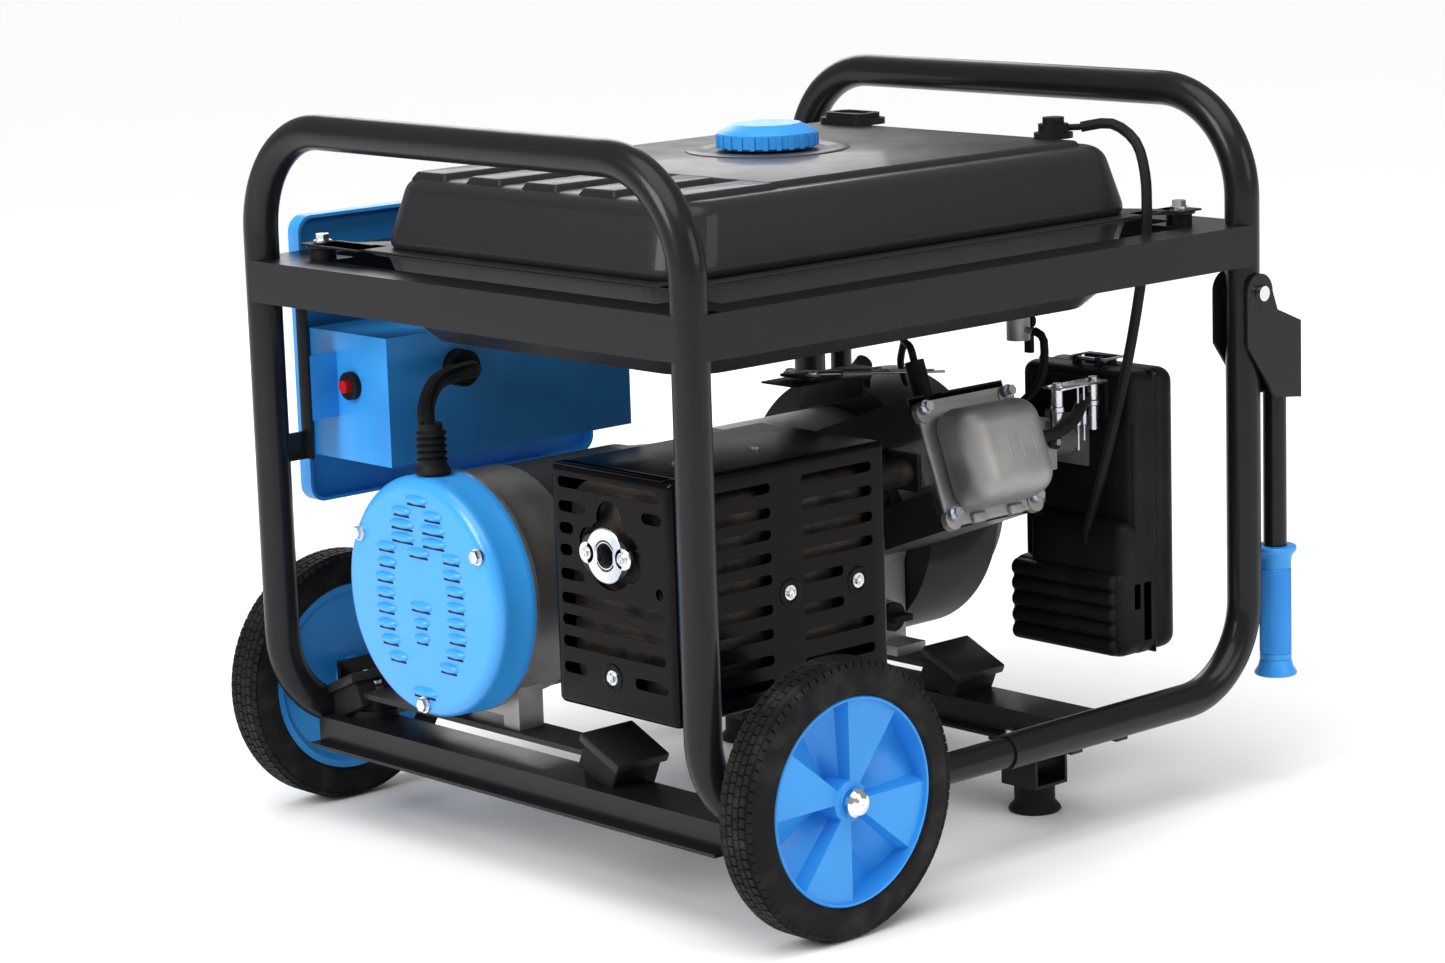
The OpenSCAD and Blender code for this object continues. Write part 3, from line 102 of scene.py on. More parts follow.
def hex_bolt(direction, place, size=4.6, height=3.4):
    """A flanged hex screw head, its dimensions in millimetres."""
    head = fresh(bpy.ops.mesh.primitive_cylinder_add, vertices=6, radius=size * MM, depth=height * MM)
    pick(head, lambda f: f.normal.z > 0.9, faces=True)
    bpy.ops.mesh.inset(thickness=1.3 * MM, depth=0)
    bpy.ops.mesh.inset(thickness=0.3 * MM, depth=-0.9 * MM)
    leave()
    head.data.transform(Matrix.Translation((0, 0, height / 2 * MM)))
    washer = turned([(1 * MM, 0), (size * 1.45 * MM, 0), (size * 1.4 * MM, 0.7 * MM), (1 * MM, 1.1 * MM)],
                    32)
    return point_along(joined([bevel(head, 0.35 * MM, 2), washer]), direction, place)


def block(lo, hi, round_by=0.0, segments=3):
    """A box from corner to corner with rounded edges."""
    lo, hi = Vector(lo), Vector(hi)
    piece = fresh(bpy.ops.mesh.primitive_cube_add, size=1, location=(lo + hi) / 2)
    piece.scale = hi - lo
    bpy.ops.object.transform_apply(location=True, rotation=True, scale=True)
    return bevel(piece, round_by, segments) if round_by else piece


def turned(outline, steps=96):
    """Spins a closed outline of (radius, height) round the Z axis."""
    piece = fresh(bpy.ops.mesh.primitive_circle_add, vertices=len(outline), fill_type="NOTHING")
    for vertex, (radius, height) in zip(piece.data.vertices, outline):
        vertex.co = (radius, 0, height)
    pick(piece, lambda v: True)
    bpy.ops.mesh.spin(steps=steps, angle=2 * math.pi, center=(0, 0, 0), axis=(0, 0, 1))
    bpy.ops.mesh.select_all(action="SELECT")
    bpy.ops.mesh.remove_doubles(threshold=1e-6)
    bpy.ops.mesh.dissolve_degenerate(threshold=1e-6)
    bpy.ops.mesh.select_all(action="SELECT")
    bpy.ops.mesh.normals_make_consistent(inside=False)
    leave()
    return piece


def point_along(piece, direction, place):
    """Turns a piece made round +Z to a direction and puts it at its place."""
    turn = Vector(direction).to_track_quat("Z", "Y").to_matrix().to_4x4()
    piece.data.transform(Matrix.Translation(place) @ turn)
    return piece


def joined(parts):
    bpy.ops.object.select_all(action="DESELECT")
    for part in parts:
        part.select_set(True)
    bpy.context.view_layer.objects.active = parts[0]
    bpy.ops.object.join()
    return bpy.context.object


def finished(piece, name, body, look, replaces=(), smooth=35):
    """Names a piece, smooths it, gives it its material and fixes it to its body."""
    bpy.ops.object.select_all(action="DESELECT")
    piece.select_set(True)
    bpy.context.view_layer.objects.active = piece
    bpy.ops.object.shade_smooth_by_angle(angle=math.radians(smooth))
    piece.name = name
    piece.data.materials.clear()
    piece.data.materials.append(look)
    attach(piece, body)
    if replaces:
        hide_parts(*replaces)
    return piece


# ---------- materials ----------

class Num:
    """A shader number that Python's operators build Math nodes on."""

    def __init__(self, look, socket):
        self.look, self.socket = look, socket

    def math(self, operation, first, second=None, third=None):
        values = {i: v for i, v in enumerate((first, second, third)) if v is not None}
        return Num(self.look, self.look.node("ShaderNodeMath", {"operation": operation}, values).outputs[0])

    def __add__(self, other):
        return self.math("ADD", self, other)

    __radd__ = __add__

    def __sub__(self, other):
        return self.math("SUBTRACT", self, other)

    def __rsub__(self, other):
        return self.math("SUBTRACT", other, self)

    def __mul__(self, other):
        return self.math("MULTIPLY", self, other)

    __rmul__ = __mul__

    def __pow__(self, other):
        return self.math("POWER", self, other)

    def above(self, low, high):
        """0 below low, 1 above high, smooth between."""
        return Num(self.look, self.look.node("ShaderNodeMapRange", {"interpolation_type": "SMOOTHSTEP"},
                                             {0: self, 1: low, 2: high, 3: 0.0, 4: 1.0}).outputs[0])


class Look:
    """One material: its nodes, patterns and final sockets."""

    def __init__(self, name, **sockets):
        self.material = bpy.data.materials.new(name)
        self.material.use_nodes = True
        self.tree = self.material.node_tree
        self.shader = self.tree.nodes["Principled BSDF"]
        for key, value in sockets.items():
            self.shader.inputs[key.replace("_", " ")].default_value = value
        self.place = self.node("ShaderNodeTexCoord").outputs["Object"]

    def node(self, kind, settings=None, sockets=None):
        made = self.tree.nodes.new(kind)
        for key, value in (settings or {}).items():
            setattr(made, key, value)
        for key, value in (sockets or {}).items():
            if isinstance(value, Num):
                value = value.socket
            if isinstance(value, bpy.types.NodeSocket):
                self.tree.links.new(value, made.inputs[key])
            else:
                made.inputs[key].default_value = value
        return made

    def noise(self, scale, detail=3.0, rough=0.5, stretch=None):
        place = self.place
        if stretch:
            place = self.node("ShaderNodeMapping", {}, {"Vector": place, "Scale": stretch}).outputs[0]
        return Num(self, self.node("ShaderNodeTexNoise", {},
                                   {"Vector": place, "Scale": scale, "Detail": detail,
                                                              "Roughness": rough}).outputs[0])

    def cells(self, scale):
        return Num(self, self.node("ShaderNodeTexVoronoi", {},
                                   {"Vector": self.place, "Scale": scale}).outputs[0])

    def axis(self, letter):
        return Num(self, self.node("ShaderNodeSeparateXYZ", {}, {0: self.place}).outputs[letter])

    def wave(self, pitch):
        """A sine along the shaft, from 0 to 1."""
        along = self.axis("X") * (2 * math.pi / pitch)
        return along.math("SINE", along) * 0.5 + 0.5

    def blend(self, first, second, mask):
        """A colour between two, by a mask."""
        made = self.node("ShaderNodeMix", {"data_type": "RGBA"}, {0: mask, 6: first, 7: second})
        return made.outputs[2]

    def set(self, colour=None, rough=None, bump=None, strength=0.3, depth=0.0003, metal=None):
        for key, value in (("Base Color", colour), ("Roughness", rough), ("Metallic", metal)):
            if value is not None:
                value = value.socket if isinstance(value, Num) else value
                self.tree.links.new(value, self.shader.inputs[key])
        if bump is not None:
            made = self.node("ShaderNodeBump", {},
                             {"Height": bump, "Strength": strength, "Distance": depth})
            self.tree.links.new(made.outputs[0], self.shader.inputs["Normal"])
        return self.material


def enamel(name, colour, dusty, rough=0.25, grain=900, gloss=0.3):
    """Sprayed paint: faint orange peel, thin dust and worn gloss."""
    look = Look(name, Coat_Weight=gloss, Coat_Roughness=0.1, Specular_IOR_Level=gloss)
    dust = look.noise(9, 6).above(0.5, 0.85) * 0.3 + look.noise(160, 2).above(0.62, 0.78) * 0.1
    peel = look.noise(grain, 2)
    return look.set(look.blend(colour, dusty, dust), look.noise(30, 4) * 0.18 + rough, peel, 0.22, 0.0002)


def moulded(name, colour, shade, rough, grain, strength=0.25, specular=0.16):
    """Moulded plastic or rubber: fine texture, slight colour drift."""
    look = Look(name, Specular_IOR_Level=specular)
    drift = look.noise(14, 5).above(0.35, 0.75)
    return look.set(look.blend(colour, shade, drift), look.noise(60, 4) * 0.2 + rough, look.noise(grain, 3),
                    strength, 0.0002)


def cast(name, colour, shade, rough=0.42):
    """Sand-cast or die-cast aluminium: fine grain, small pits, grey stains."""
    look = Look(name, Metallic=0.85)
    pits = 1 - look.cells(420).above(0.0, 0.18)
    stain = look.noise(22, 6).above(0.42, 0.72)
    height = look.noise(1100, 3) - pits * 0.6
    return look.set(look.blend(colour, shade, stain * 0.7 + pits * 0.3), look.noise(80, 4) * 0.25 + rough,
                    height, 0.35, 0.0003)


def plated(name, colour, shade, rough, stretch=(1, 1, 1)):
    """Plated or machined steel: brushed streaks and faint tarnish."""
    look = Look(name, Metallic=1.0)
    streak = look.noise(220, 3, 0.6, stretch)
    return look.set(look.blend(colour, shade, look.noise(35, 5).above(0.4, 0.7)), streak * 0.18 + rough,
                    streak, 0.12, 0.0001)


def layered(name, colour, shade, pitch):
    """Stacked sheet laminations across the shaft."""
    look = Look(name, Metallic=0.6)
    steps = look.wave(pitch)
    return look.set(look.blend(colour, shade, steps), look.noise(90, 3) * 0.2 + 0.4, steps, 0.6, 0.0006)


def heated():
    """Exhaust steel: straw and brown heat tints over scale."""
    look = Look("heated_steel", Metallic=0.9)
    tint = look.blend((0.075, 0.06, 0.05, 1), (0.025, 0.022, 0.022, 1), look.noise(26, 5).above(0.35, 0.65))
    return look.set(tint, look.noise(140, 4) * 0.3 + 0.38, look.noise(700, 4), 0.4, 0.0003)


def foam():
    look = Look("filter_foam")
    holes = look.cells(330)
    return look.set(look.blend((0.02, 0.02, 0.02, 1), (0.12, 0.12, 0.1, 1), holes),
                    look.noise(40) * 0.1 + 0.8, holes, 0.9, 0.0015)


def make_looks():
    tread = Look("tyre_rubber", Specular_IOR_Level=0.12)
    scuff = tread.noise(38, 6).above(0.45, 0.8)
    tyre = tread.set(tread.blend((0.007, 0.007, 0.007, 1), (0.026, 0.025, 0.023, 1), scuff),
                     tread.noise(90, 4) * 0.2 + 0.52, tread.noise(650, 4), 0.4, 0.0004)
    blue, deep_blue = (0.036, 0.32, 0.8, 1), (0.028, 0.265, 0.7, 1)
    return {
        "frame_black": enamel("frame_enamel", (0.0085, 0.0078, 0.009, 1), (0.017, 0.0162, 0.017, 1), 0.24,
                              900, 0.16),
        "black_sheet": enamel("sheet_enamel", (0.02, 0.0185, 0.0205, 1), (0.03, 0.0285, 0.03, 1), 0.36,
                              1200, 0.15),
        "gloss_black": enamel("guard_gloss", (0.0012, 0.0012, 0.0015, 1), (0.003, 0.003, 0.003, 1), 0.1,
                              1500, 0.07),
        "rubber": moulded("black_rubber", (0.005, 0.005, 0.005, 1), (0.014, 0.0135, 0.013, 1), 0.5, 500),
        "tyre": tyre,
        "blue_plastic": moulded("blue_moulding", blue, deep_blue, 0.28, 700, 0.12, 0.4),
        "blue_metal": enamel("blue_enamel", blue, (0.05, 0.355, 0.82, 1), 0.26, 800, 0.4),
        "black_plastic": moulded("black_moulding", (0.0045, 0.0045, 0.005, 1), (0.012, 0.012, 0.0125, 1),
                                 0.4, 800),
        "red_plastic": moulded("red_moulding", (0.55, 0.01, 0.01, 1), (0.42, 0.01, 0.01, 1), 0.25, 900,
                               0.1),
        "white_plastic": moulded("white_moulding", (0.8, 0.8, 0.78, 1), (0.7, 0.7, 0.68, 1), 0.3, 900, 0.1),
        "zinc": plated("zinc_plate", (0.74, 0.75, 0.77, 1), (0.5, 0.55, 0.64, 1), 0.2),
        "chrome": plated("bright_chrome", (0.85, 0.86, 0.88, 1), (0.75, 0.76, 0.78, 1), 0.04),
        "cast_aluminium": cast("cast_aluminium", (0.4, 0.385, 0.375, 1), (0.29, 0.28, 0.27, 1)),
        "laminations": layered("laminated_steel", (0.03, 0.03, 0.03, 1), (0.14, 0.14, 0.14, 1), 0.0016),
        "steel": plated("machined_steel", (0.5, 0.5, 0.52, 1), (0.38, 0.38, 0.4, 1), 0.28, (1, 8, 8)),
        "exhaust": heated(),
        "foam": foam(),
    }


# ---------- pieces ----------

def make_tyre(side, looks):
    """A solid rubber tyre: rounded sides and raised tread blocks in four rows."""
    node = "tyre_" + side
    lo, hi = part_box(node)
    centre, radius, half = (lo + hi) / 2, (hi.z - lo.z) / 2, (hi.y - lo.y) / 2
    grip, base, edge = 89 * MM, radius - 2.2 * MM, half - 7 * MM
    outline = [(grip, -half + 3 * MM), (grip + 3 * MM, -half), (radius - 16 * MM, -half + 1 * MM),
               (base - 4 * MM, -half + 3.5 * MM), (base, -edge)]
    outline += [(base, -edge + 2 * edge * k / 4) for k in (1, 2, 3)]
    outline += [(base, edge), (base - 4 * MM, half - 3.5 * MM), (radius - 16 * MM, half - 1 * MM),
                (grip + 3 * MM, half), (grip, half - 3 * MM)]
    steps = 84
    piece = turned(outline, steps)
    band = lambda f: math.hypot(f.center.x, f.center.y) > base - 3 * MM and abs(f.center.z) < half - 4 * MM
    pick(piece, band, faces=True)
    bpy.ops.mesh.inset(thickness=0.9 * MM, depth=2.0 * MM, use_individual=True)
    leave()
    for vertex in piece.data.vertices:
        reach = math.hypot(vertex.co.x, vertex.co.y)
        if reach > base - 5 * MM:
            row = 0.35 * math.sin(vertex.co.z / edge * 2 * math.pi) * 2 * math.pi / steps
            turn = math.atan2(vertex.co.y, vertex.co.x) + row
            reach = min(reach, radius)
            vertex.co.x, vertex.co.y = reach * math.cos(turn), reach * math.sin(turn)
    point_along(piece, (0, 1 if side == "left" else -1, 0), centre)
    return finished(piece, "tread_" + node, "wheel_" + side, looks["tyre"], [node], 25)


def make_hub(side, looks):
    """A moulded hub: thin rim, four broad flat spokes and deep pockets with folded floors."""
    node = "hub_" + side
    lo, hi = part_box(node)
    out = 1 if side == "left" else -1
    centre, half, radius = (lo + hi) / 2, (hi.y - lo.y) / 2, (hi.z - lo.z) / 2
    bore, boss, sunk = 8.05 * MM, 15 * MM, half - 4.5 * MM
    first, last = boss + 3.6 * MM, radius - 3.6 * MM
    outline = [(bore, -half), (boss, -half), (boss + 4 * MM, -half + 6 * MM),
               (radius - 12 * MM, -half + 8 * MM),
               (radius - 6 * MM, -half + 3 * MM), (radius, -half + 3 * MM), (radius, half - 1.5 * MM),
               (radius - 1 * MM, half - 0.5 * MM), (radius - 2.5 * MM,
                                                    half - 1.2 * MM), (radius - 3 * MM, sunk)]
    outline += [(last + (first - last) * k / 5, sunk) for k in range(6)]
    outline += [(boss + 3 * MM, sunk), (boss, half - 2.5 * MM), (boss - 1 * MM, half - 0.2 * MM),
                (bore, half - 0.2 * MM)]
    piece = turned(outline, 120)
    period, pocket, start = 90, 49, 1.5

    def depth_at(x, y):
        """How far the floor drops at a point of a pocket, 0 on a spoke."""
        angle = (math.degrees(math.atan2(y, x)) - start) % period
        return (12 + 13 * (1 - abs(2 * angle / pocket - 1))) * MM if angle < pocket else 0.0

    for vertex in piece.data.vertices:
        reach = math.hypot(vertex.co.x, vertex.co.y)
        if abs(vertex.co.z - sunk) < 0.01 * MM and first - 0.3 * MM < reach < last + 0.3 * MM:
            vertex.co.z -= depth_at(vertex.co.x, vertex.co.y)
    point_along(piece, (0, out, 0), centre)
    return finished(piece, "moulded_" + node, "wheel_" + side, looks["blue_plastic"],
                    [node], 28)


def louvre_places():
    """Places (across, up, width) of the louvres on the alternator's cover, in mm."""
    places = [(0, 87, 30), (0, 40, 30), (0, -9, 30), (0, -24, 20), (0, -38, 20), (0, -87, 34)]
    for side in (-1, 1):
        places += [(side * 22, 75, 26), (side * 22, 63, 34), (side * 22, 51, 34)]
        for k in range(8):
            places.append((side * (50 if 1 < k < 6 else 46 if k < 7 else 36), 40 - 14.2 * k, 26))
    return places


def make_cover(looks):
    """The alternator's pressed cover with raised louvres, each over a black block that paints the shade in
    its slot.
    """
    node = "alternator_cover"
    lo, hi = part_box(node)
    centre, radius, depth = (lo + hi) / 2, (hi.z - lo.z) / 2, hi.x - lo.x
    wall, steps = 2 * MM, 6

    def corner(edge, height, rad):
        """The rounded corner of the pressing, from its face to its rim."""
        turns = [math.radians(90 * k / steps) for k in range(steps + 1)]
        return [(edge - rad + rad * math.sin(a), height - rad + rad * math.cos(a)) for a in turns]

    lip = [(radius - 1.2 * MM, 8 * MM), (radius, 6.5 * MM), (radius, 0)]
    outer = [(0, depth)] + corner(radius - 1.2 * MM, depth, 12 * MM) + lip
    inner = [(radius - wall, 0)]
    inner += reversed(corner(radius - wall - 1 * MM, depth - wall, 10 * MM))
    inner.append((0, depth - wall))
    shell = point_along(turned(outer + inner), (-1, 0, 0), (hi.x, centre.y, centre.z))
    louvres, slots = [], []
    for across, up, width in louvre_places():
        w = width * MM
        spot = Vector((lo.x, centre.y + across * MM, centre.z + up * MM))
        hood = fresh(bpy.ops.mesh.primitive_uv_sphere_add, segments=24, ring_count=12, radius=1)
        pick(hood, lambda v: v.co.x > 0.02)
        bpy.ops.mesh.delete(type="VERT")
        leave()
        hood.data.transform(Matrix.Translation(spot + at(1.6, 0, 1.2))
                            @ Matrix.Diagonal((6.2 * MM, w / 2 + 1.5 * MM, 4.6 * MM, 1)))
        louvres.append(hood)
        # painted shade: no slot is cut; a thin black block at the cover's face stands for the dark opening
        # under the hood
        slot_shade_block = block(spot + Vector((-0.5 * MM, -w / 2 + 2 * MM, -4.6 * MM)),
                    spot + Vector((1 * MM, w / 2 - 2 * MM, -2.7 * MM)), 0.4 * MM, 2)
        slots.append(slot_shade_block)
    finished(joined([shell] + louvres), "louvred_cover", "frame", looks["blue_metal"], [node],
             40)
    # these black blocks are painted shade for the louvres' openings
    finished(joined(slots), "cover_painted_slot_shade", "frame", looks["black_plastic"])


def slot_cutter(lo, hi, along):
    """A slot with round ends through a sheet; along is the slot's long axis, 1 for Y or 0 for X."""
    lo, hi = Vector(lo), Vector(hi)
    size = hi - lo
    rod = fresh(bpy.ops.mesh.primitive_cylinder_add, vertices=20, radius=size.z / 2, depth=1)
    half = (size.y if along else size.x) / 2 - size.z / 2
    pick(rod, lambda v: v.co.x > 0.0001 * MM)
    bpy.ops.transform.translate(value=(half, 0, 0))
    leave()
    pick(rod, lambda v: v.co.x < -0.0001 * MM)
    bpy.ops.transform.translate(value=(-half, 0, 0))
    leave()
    thick = size.x if along else size.y
    rod.data.transform(Matrix.Diagonal((1, 1, thick, 1)))
    rod.data.transform(Matrix.Rotation(math.pi / 2, 4, "X"))
    if along:
        rod.data.transform(Matrix.Rotation(math.pi / 2, 4, "Z"))
    rod.data.transform(Matrix.Translation((lo + hi) / 2))
    return rod


def make_guard(looks):
    """The muffler's guard: a folded box and a tray over its end, with rows of round-ended slots."""
    node = "muffler_guard"
    lo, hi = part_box(node)
    wall = 1.4 * MM
    body = block(lo + at(2, 1.2, 1.2), hi - at(0, 0, 1.2), 5 * MM, 4)
    hollow = block(lo + at(2, 1.2, 1.2) + Vector((wall, wall, wall)),
                   hi - at(0, 0, 1.2) - Vector((wall, wall, wall)), 3.6 * MM, 4)
    cuts = [hollow]
    tray = block(lo, (lo.x + 20 * MM, hi.y, hi.z), 7 * MM, 5)
    tray_cuts = [block(lo + Vector((wall, wall, wall)), (lo.x + 40 * MM, hi.y - wall, hi.z - wall),
                       5.6 * MM, 4)]
    for up in (190, 169, 150, 130, 111, 85, 64, 41, 20):
        cuts.append(slot_cutter((lo.x + 24 * MM, lo.y - 4 * MM, lo.z + (up - 4.6) * MM),
                                (lo.x + 112 * MM, lo.y + 8 * MM, lo.z + (up + 4.6) * MM), 0))
    for up, end in ((191, 232), (170, 232), (147, 232), (126, 232), (105, 196), (78, 196), (55, 232),
                    (31, 232)):
        cuts.append(slot_cutter((lo.x + 148 * MM, lo.y - 4 * MM, lo.z + (up - 4.6) * MM),
                                (lo.x + end * MM, lo.y + 8 * MM, lo.z + (up + 4.6) * MM), 0))
    rows = [(11, 143, 196), (11, 46, 175), (118, 143, 177), (11, 29, 156), (11, 27, 137), (11, 42, 116),
            (11, 143, 95),
            (11, 143, 76), (11, 143, 57), (11, 40, 34), (103, 145, 33), (133, 142, 114)]
    for first, last, up in rows:
        for sheet, into in ((tray_cuts, 0), (cuts, 1)):
            sheet.append(slot_cutter((lo.x - 4 * MM, hi.y - last * MM - into * MM,
                                      lo.z + (up - 5 - into) * MM),
                                     (lo.x + 9 * MM, hi.y - first * MM + into * MM,
                                      lo.z + (up + 5 + into) * MM), 1))
    outlet = at(0, *OUTLET)
    for sheet in (tray_cuts, cuts):
        for radius, shift_y, shift_z in ((31, 0, 0), (16, 0, 30), (13, 26, 8), (13, -26, -8)):
            hole = fresh(bpy.ops.mesh.primitive_cylinder_add, vertices=36, radius=radius * MM,
                         depth=14 * MM,
                         rotation=(0, math.pi / 2, 0), location=(lo.x, outlet.y + shift_y * MM,
                                                                 outlet.z + shift_z * MM))
            bpy.ops.object.transform_apply(location=True, rotation=True, scale=True)
            sheet.append(hole)
    cuts.append(block(at(-4, *INLET[0]) + Vector((hi.x, 0, 0)), at(4, *INLET[1]) + Vector((hi.x, 0, 0)),
                      6 * MM))
    cut_out(body, cuts)
    cut_out(tray, tray_cuts)
    fold = block((lo.x + 0.2 * MM, lo.y + 12 * MM, hi.z - 2 * MM), (lo.x + 13 * MM, hi.y - 6 * MM, hi.z),
                 0.8 * MM, 2)
    dimples, bolts = [], []
    spots = [((-1, 0, 0), (lo.x, hi.y - 74 * MM, lo.z + 33 * MM)),
             ((0, -1, 0), (lo.x + 132 * MM, lo.y + 1.2 * MM, lo.z + 96 * MM)),
             ((0, -1, 0), (lo.x + 213 * MM, lo.y + 1.2 * MM,
                           lo.z + 93 * MM)), ((0, 0, 1), (lo.x + 60 * MM, lo.y + 60 * MM, hi.z - 2.4 * MM)),
             ((0, 0, 1), (lo.x + 150 * MM, lo.y + 60 * MM, hi.z - 2.4 * MM))]
    for direction, place in spots:
        rim = turned([(4 * MM, -1 * MM), (13 * MM, -1 * MM), (12.5 * MM, 0.4 * MM), (11 * MM, 0.9 * MM),
                      (9 * MM, 0.4 * MM), (4 * MM, 0.2 * MM)], 40)
        dimples.append(point_along(rim, direction, place))
        bolts.append(hex_bolt(direction, Vector(place) + Vector(direction) * 0.2 * MM))
    finished(joined([body, tray, fold] + dimples), "slotted_guard", "frame",
             looks["gloss_black"], [node], 40)
    finished(joined(bolts), "guard_bolts", "frame", looks["zinc"])


def make_valve_cover(looks):
    """A domed casting on a thin flange, leaning with the cylinder, with four round bosses at its corners.
    """
    lo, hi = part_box("valve_cover")
    lean = Matrix.Translation((lo + hi) / 2) @ Matrix.Rotation(math.radians(70), 4, "X")
    half = 27
    flange = block(at(-60, -56, -half), at(60, 56, -half + 5))
    bevel(flange, 17 * MM, 6, UPRIGHT)
    dome = block(at(-54, -49, -half + 3), at(54, 49, half))
    pick(dome, lambda v: v.co.z > 0)
    bpy.ops.transform.resize(value=(0.9, 0.86, 1))
    leave()
    bevel(dome, 20 * MM, 8)
    places = [(sx * 53.5, sy * 49.5) for sx in (-1, 1) for sy in (-1, 1)]
    bosses = [turned([(0, -half * MM), (10 * MM, -half * MM), (9.5 * MM, (-half + 6.4) * MM),
                      (0, (-half + 6.4) * MM)], 32) for _ in places]
    for boss, (x, y) in zip(bosses, places):
        boss.data.transform(Matrix.Translation(at(x, y, 0)))
    ledge = [block(at(x - 9, -57, -half), at(x + 9, -47, -half + 9), 2.5 * MM) for x in (-22, 26)]
    bars = [block(at(x - 1.8, -12, half - 2), at(x + 1.8, 12, half + 0.1), 1.2 * MM)
            for x in (-24, -8, 8, 24)]
    piece = joined([flange, dome] + bosses + ledge + bars)
    piece.data.transform(lean)
    finished(piece, "domed_valve_cover", "frame", looks["cast_aluminium"],
             ["valve_cover"], 40)


def make_air_cleaner(looks):
    """Both halves of the air box: soft corners, a seam, a raised side and a scalloped lobe."""
    lo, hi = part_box("air_box_cover")
    base_lo, base_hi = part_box("air_box_base")
    top, middle = base_hi.z - 9 * MM, (lo.y + hi.y) / 2
    cover = block(lo, (hi.x, hi.y, top), 14 * MM, 6)
    face = block((hi.x - 14 * MM, lo.y + 18 * MM, lo.z + 20 * MM),
                 (hi.x - 0.1 * MM, hi.y - 18 * MM, top - 20 * MM), 6 * MM, 4)
    seam = block((lo.x - 9 * MM, lo.y + 1 * MM, lo.z + 1 * MM),
                 (lo.x + 9 * MM, hi.y - 1 * MM, top - 1 * MM), 8.8 * MM, 6)
    ridge = block((lo.x - 1.5 * MM, lo.y + 0.1 * MM, lo.z + 0.1 * MM),
                  (lo.x + 1.5 * MM, hi.y - 0.1 * MM, top))
    bevel(ridge, 14 * MM, 8, UPRIGHT)
    latch = block((lo.x + 2 * MM, middle - 17 * MM, top - 8 * MM), (lo.x + 12 * MM, middle + 17 * MM, hi.z),
                  2 * MM)
    finished(joined([cover, face, seam, ridge, latch]), "air_cover_shell", "frame",
             looks["black_plastic"], ["air_box_cover"])
    back = base_hi.x
    lobe = block((base_lo.x + 5 * MM, lo.y, base_lo.z), (back + 8 * MM, hi.y, base_lo.z + 83 * MM), 14 * MM,
                 6)
    upper = block((back - 28 * MM, lo.y, base_lo.z), (back + 8 * MM, hi.y, top), 12 * MM, 5)
    shoulder = block((back - 44 * MM, lo.y, base_lo.z + 30 * MM),
                     (back - 6 * MM, hi.y - 20 * MM, base_lo.z + 128 * MM), 15 * MM, 6)
    raised = block((back - 26 * MM, lo.y + 0.1 * MM, base_lo.z + 92 * MM),
                   (back - 8 * MM, lo.y + 12 * MM, top - 44 * MM), 5 * MM, 4)
    tray = block((back - 30 * MM, lo.y + 30 * MM, top - 46 * MM),
                 (back - 20 * MM, hi.y - 14 * MM, top - 8 * MM), 4 * MM, 3)
    scallops = []
    for k in range(5):
        rod = fresh(bpy.ops.mesh.primitive_cylinder_add, vertices=32, radius=8.4 * MM, depth=128 * MM,
                    rotation=(math.pi / 2, 0, 0),
                    location=(base_lo.x + 8.5 * MM, middle, base_lo.z + (11 + 15.2 * k) * MM))
        bpy.ops.object.transform_apply(location=True, rotation=True, scale=True)
        scallops.append(bevel(rod, 4 * MM, 3, 60))
    lugs = [block((back - 15 * MM, middle + y * MM, top - 2 * MM),
                  (back - 5 * MM, middle + (y + 4) * MM, top + 8 * MM), 1 * MM)
            for y in (-16, 12)]
    parts = [lobe, upper, shoulder, raised, tray] + scallops + lugs
    finished(joined(parts), "air_base_shell", "frame", looks["black_plastic"],
             ["air_box_base"], 40)


def make_throttle_bracket(looks):
    """Plated bracket, posts and link rods beside the carburettor."""
    lo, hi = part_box("carburettor")
    mid_x, near, top = (lo.x + hi.x) / 2, lo.y - 12 * MM, hi.z
    plate = block((mid_x - 26 * MM, near - 12 * MM, top + 26 * MM),
                  (mid_x + 38 * MM, near + 12 * MM, top + 28 * MM), 0.7 * MM, 2)
    parts = [plate]
    for x in (-18, 30):
        outline = [(0, -18), (5, -18), (5, 4), (6.2, 5), (6.2, 9), (5, 10), (5, 25.5), (0, 25.5)]
        post = turned([(r * MM, h * MM) for r, h in outline], 32)
        post.data.transform(Matrix.Translation((mid_x + x * MM, near, top)))
        parts.append(post)
        parts.append(hex_bolt((0, 0, 1), (mid_x + x * MM, near, top + 28 * MM)))
    for x, low in ((6, -34), (14, -26)):
        rod = turned([(0, low * MM), (1.1 * MM, low * MM), (1.1 * MM, -12 * MM), (2.4 * MM, -11 * MM),
                      (2.4 * MM, 4 * MM), (1.1 * MM, 5 * MM),
                      (1.1 * MM, 27 * MM), (0, 27 * MM)], 20)
        rod.data.transform(Matrix.Translation((mid_x + x * MM, near - 3 * MM, top)))
        parts.append(rod)
    finished(joined(parts), "throttle_bracket", "frame", looks["zinc"])


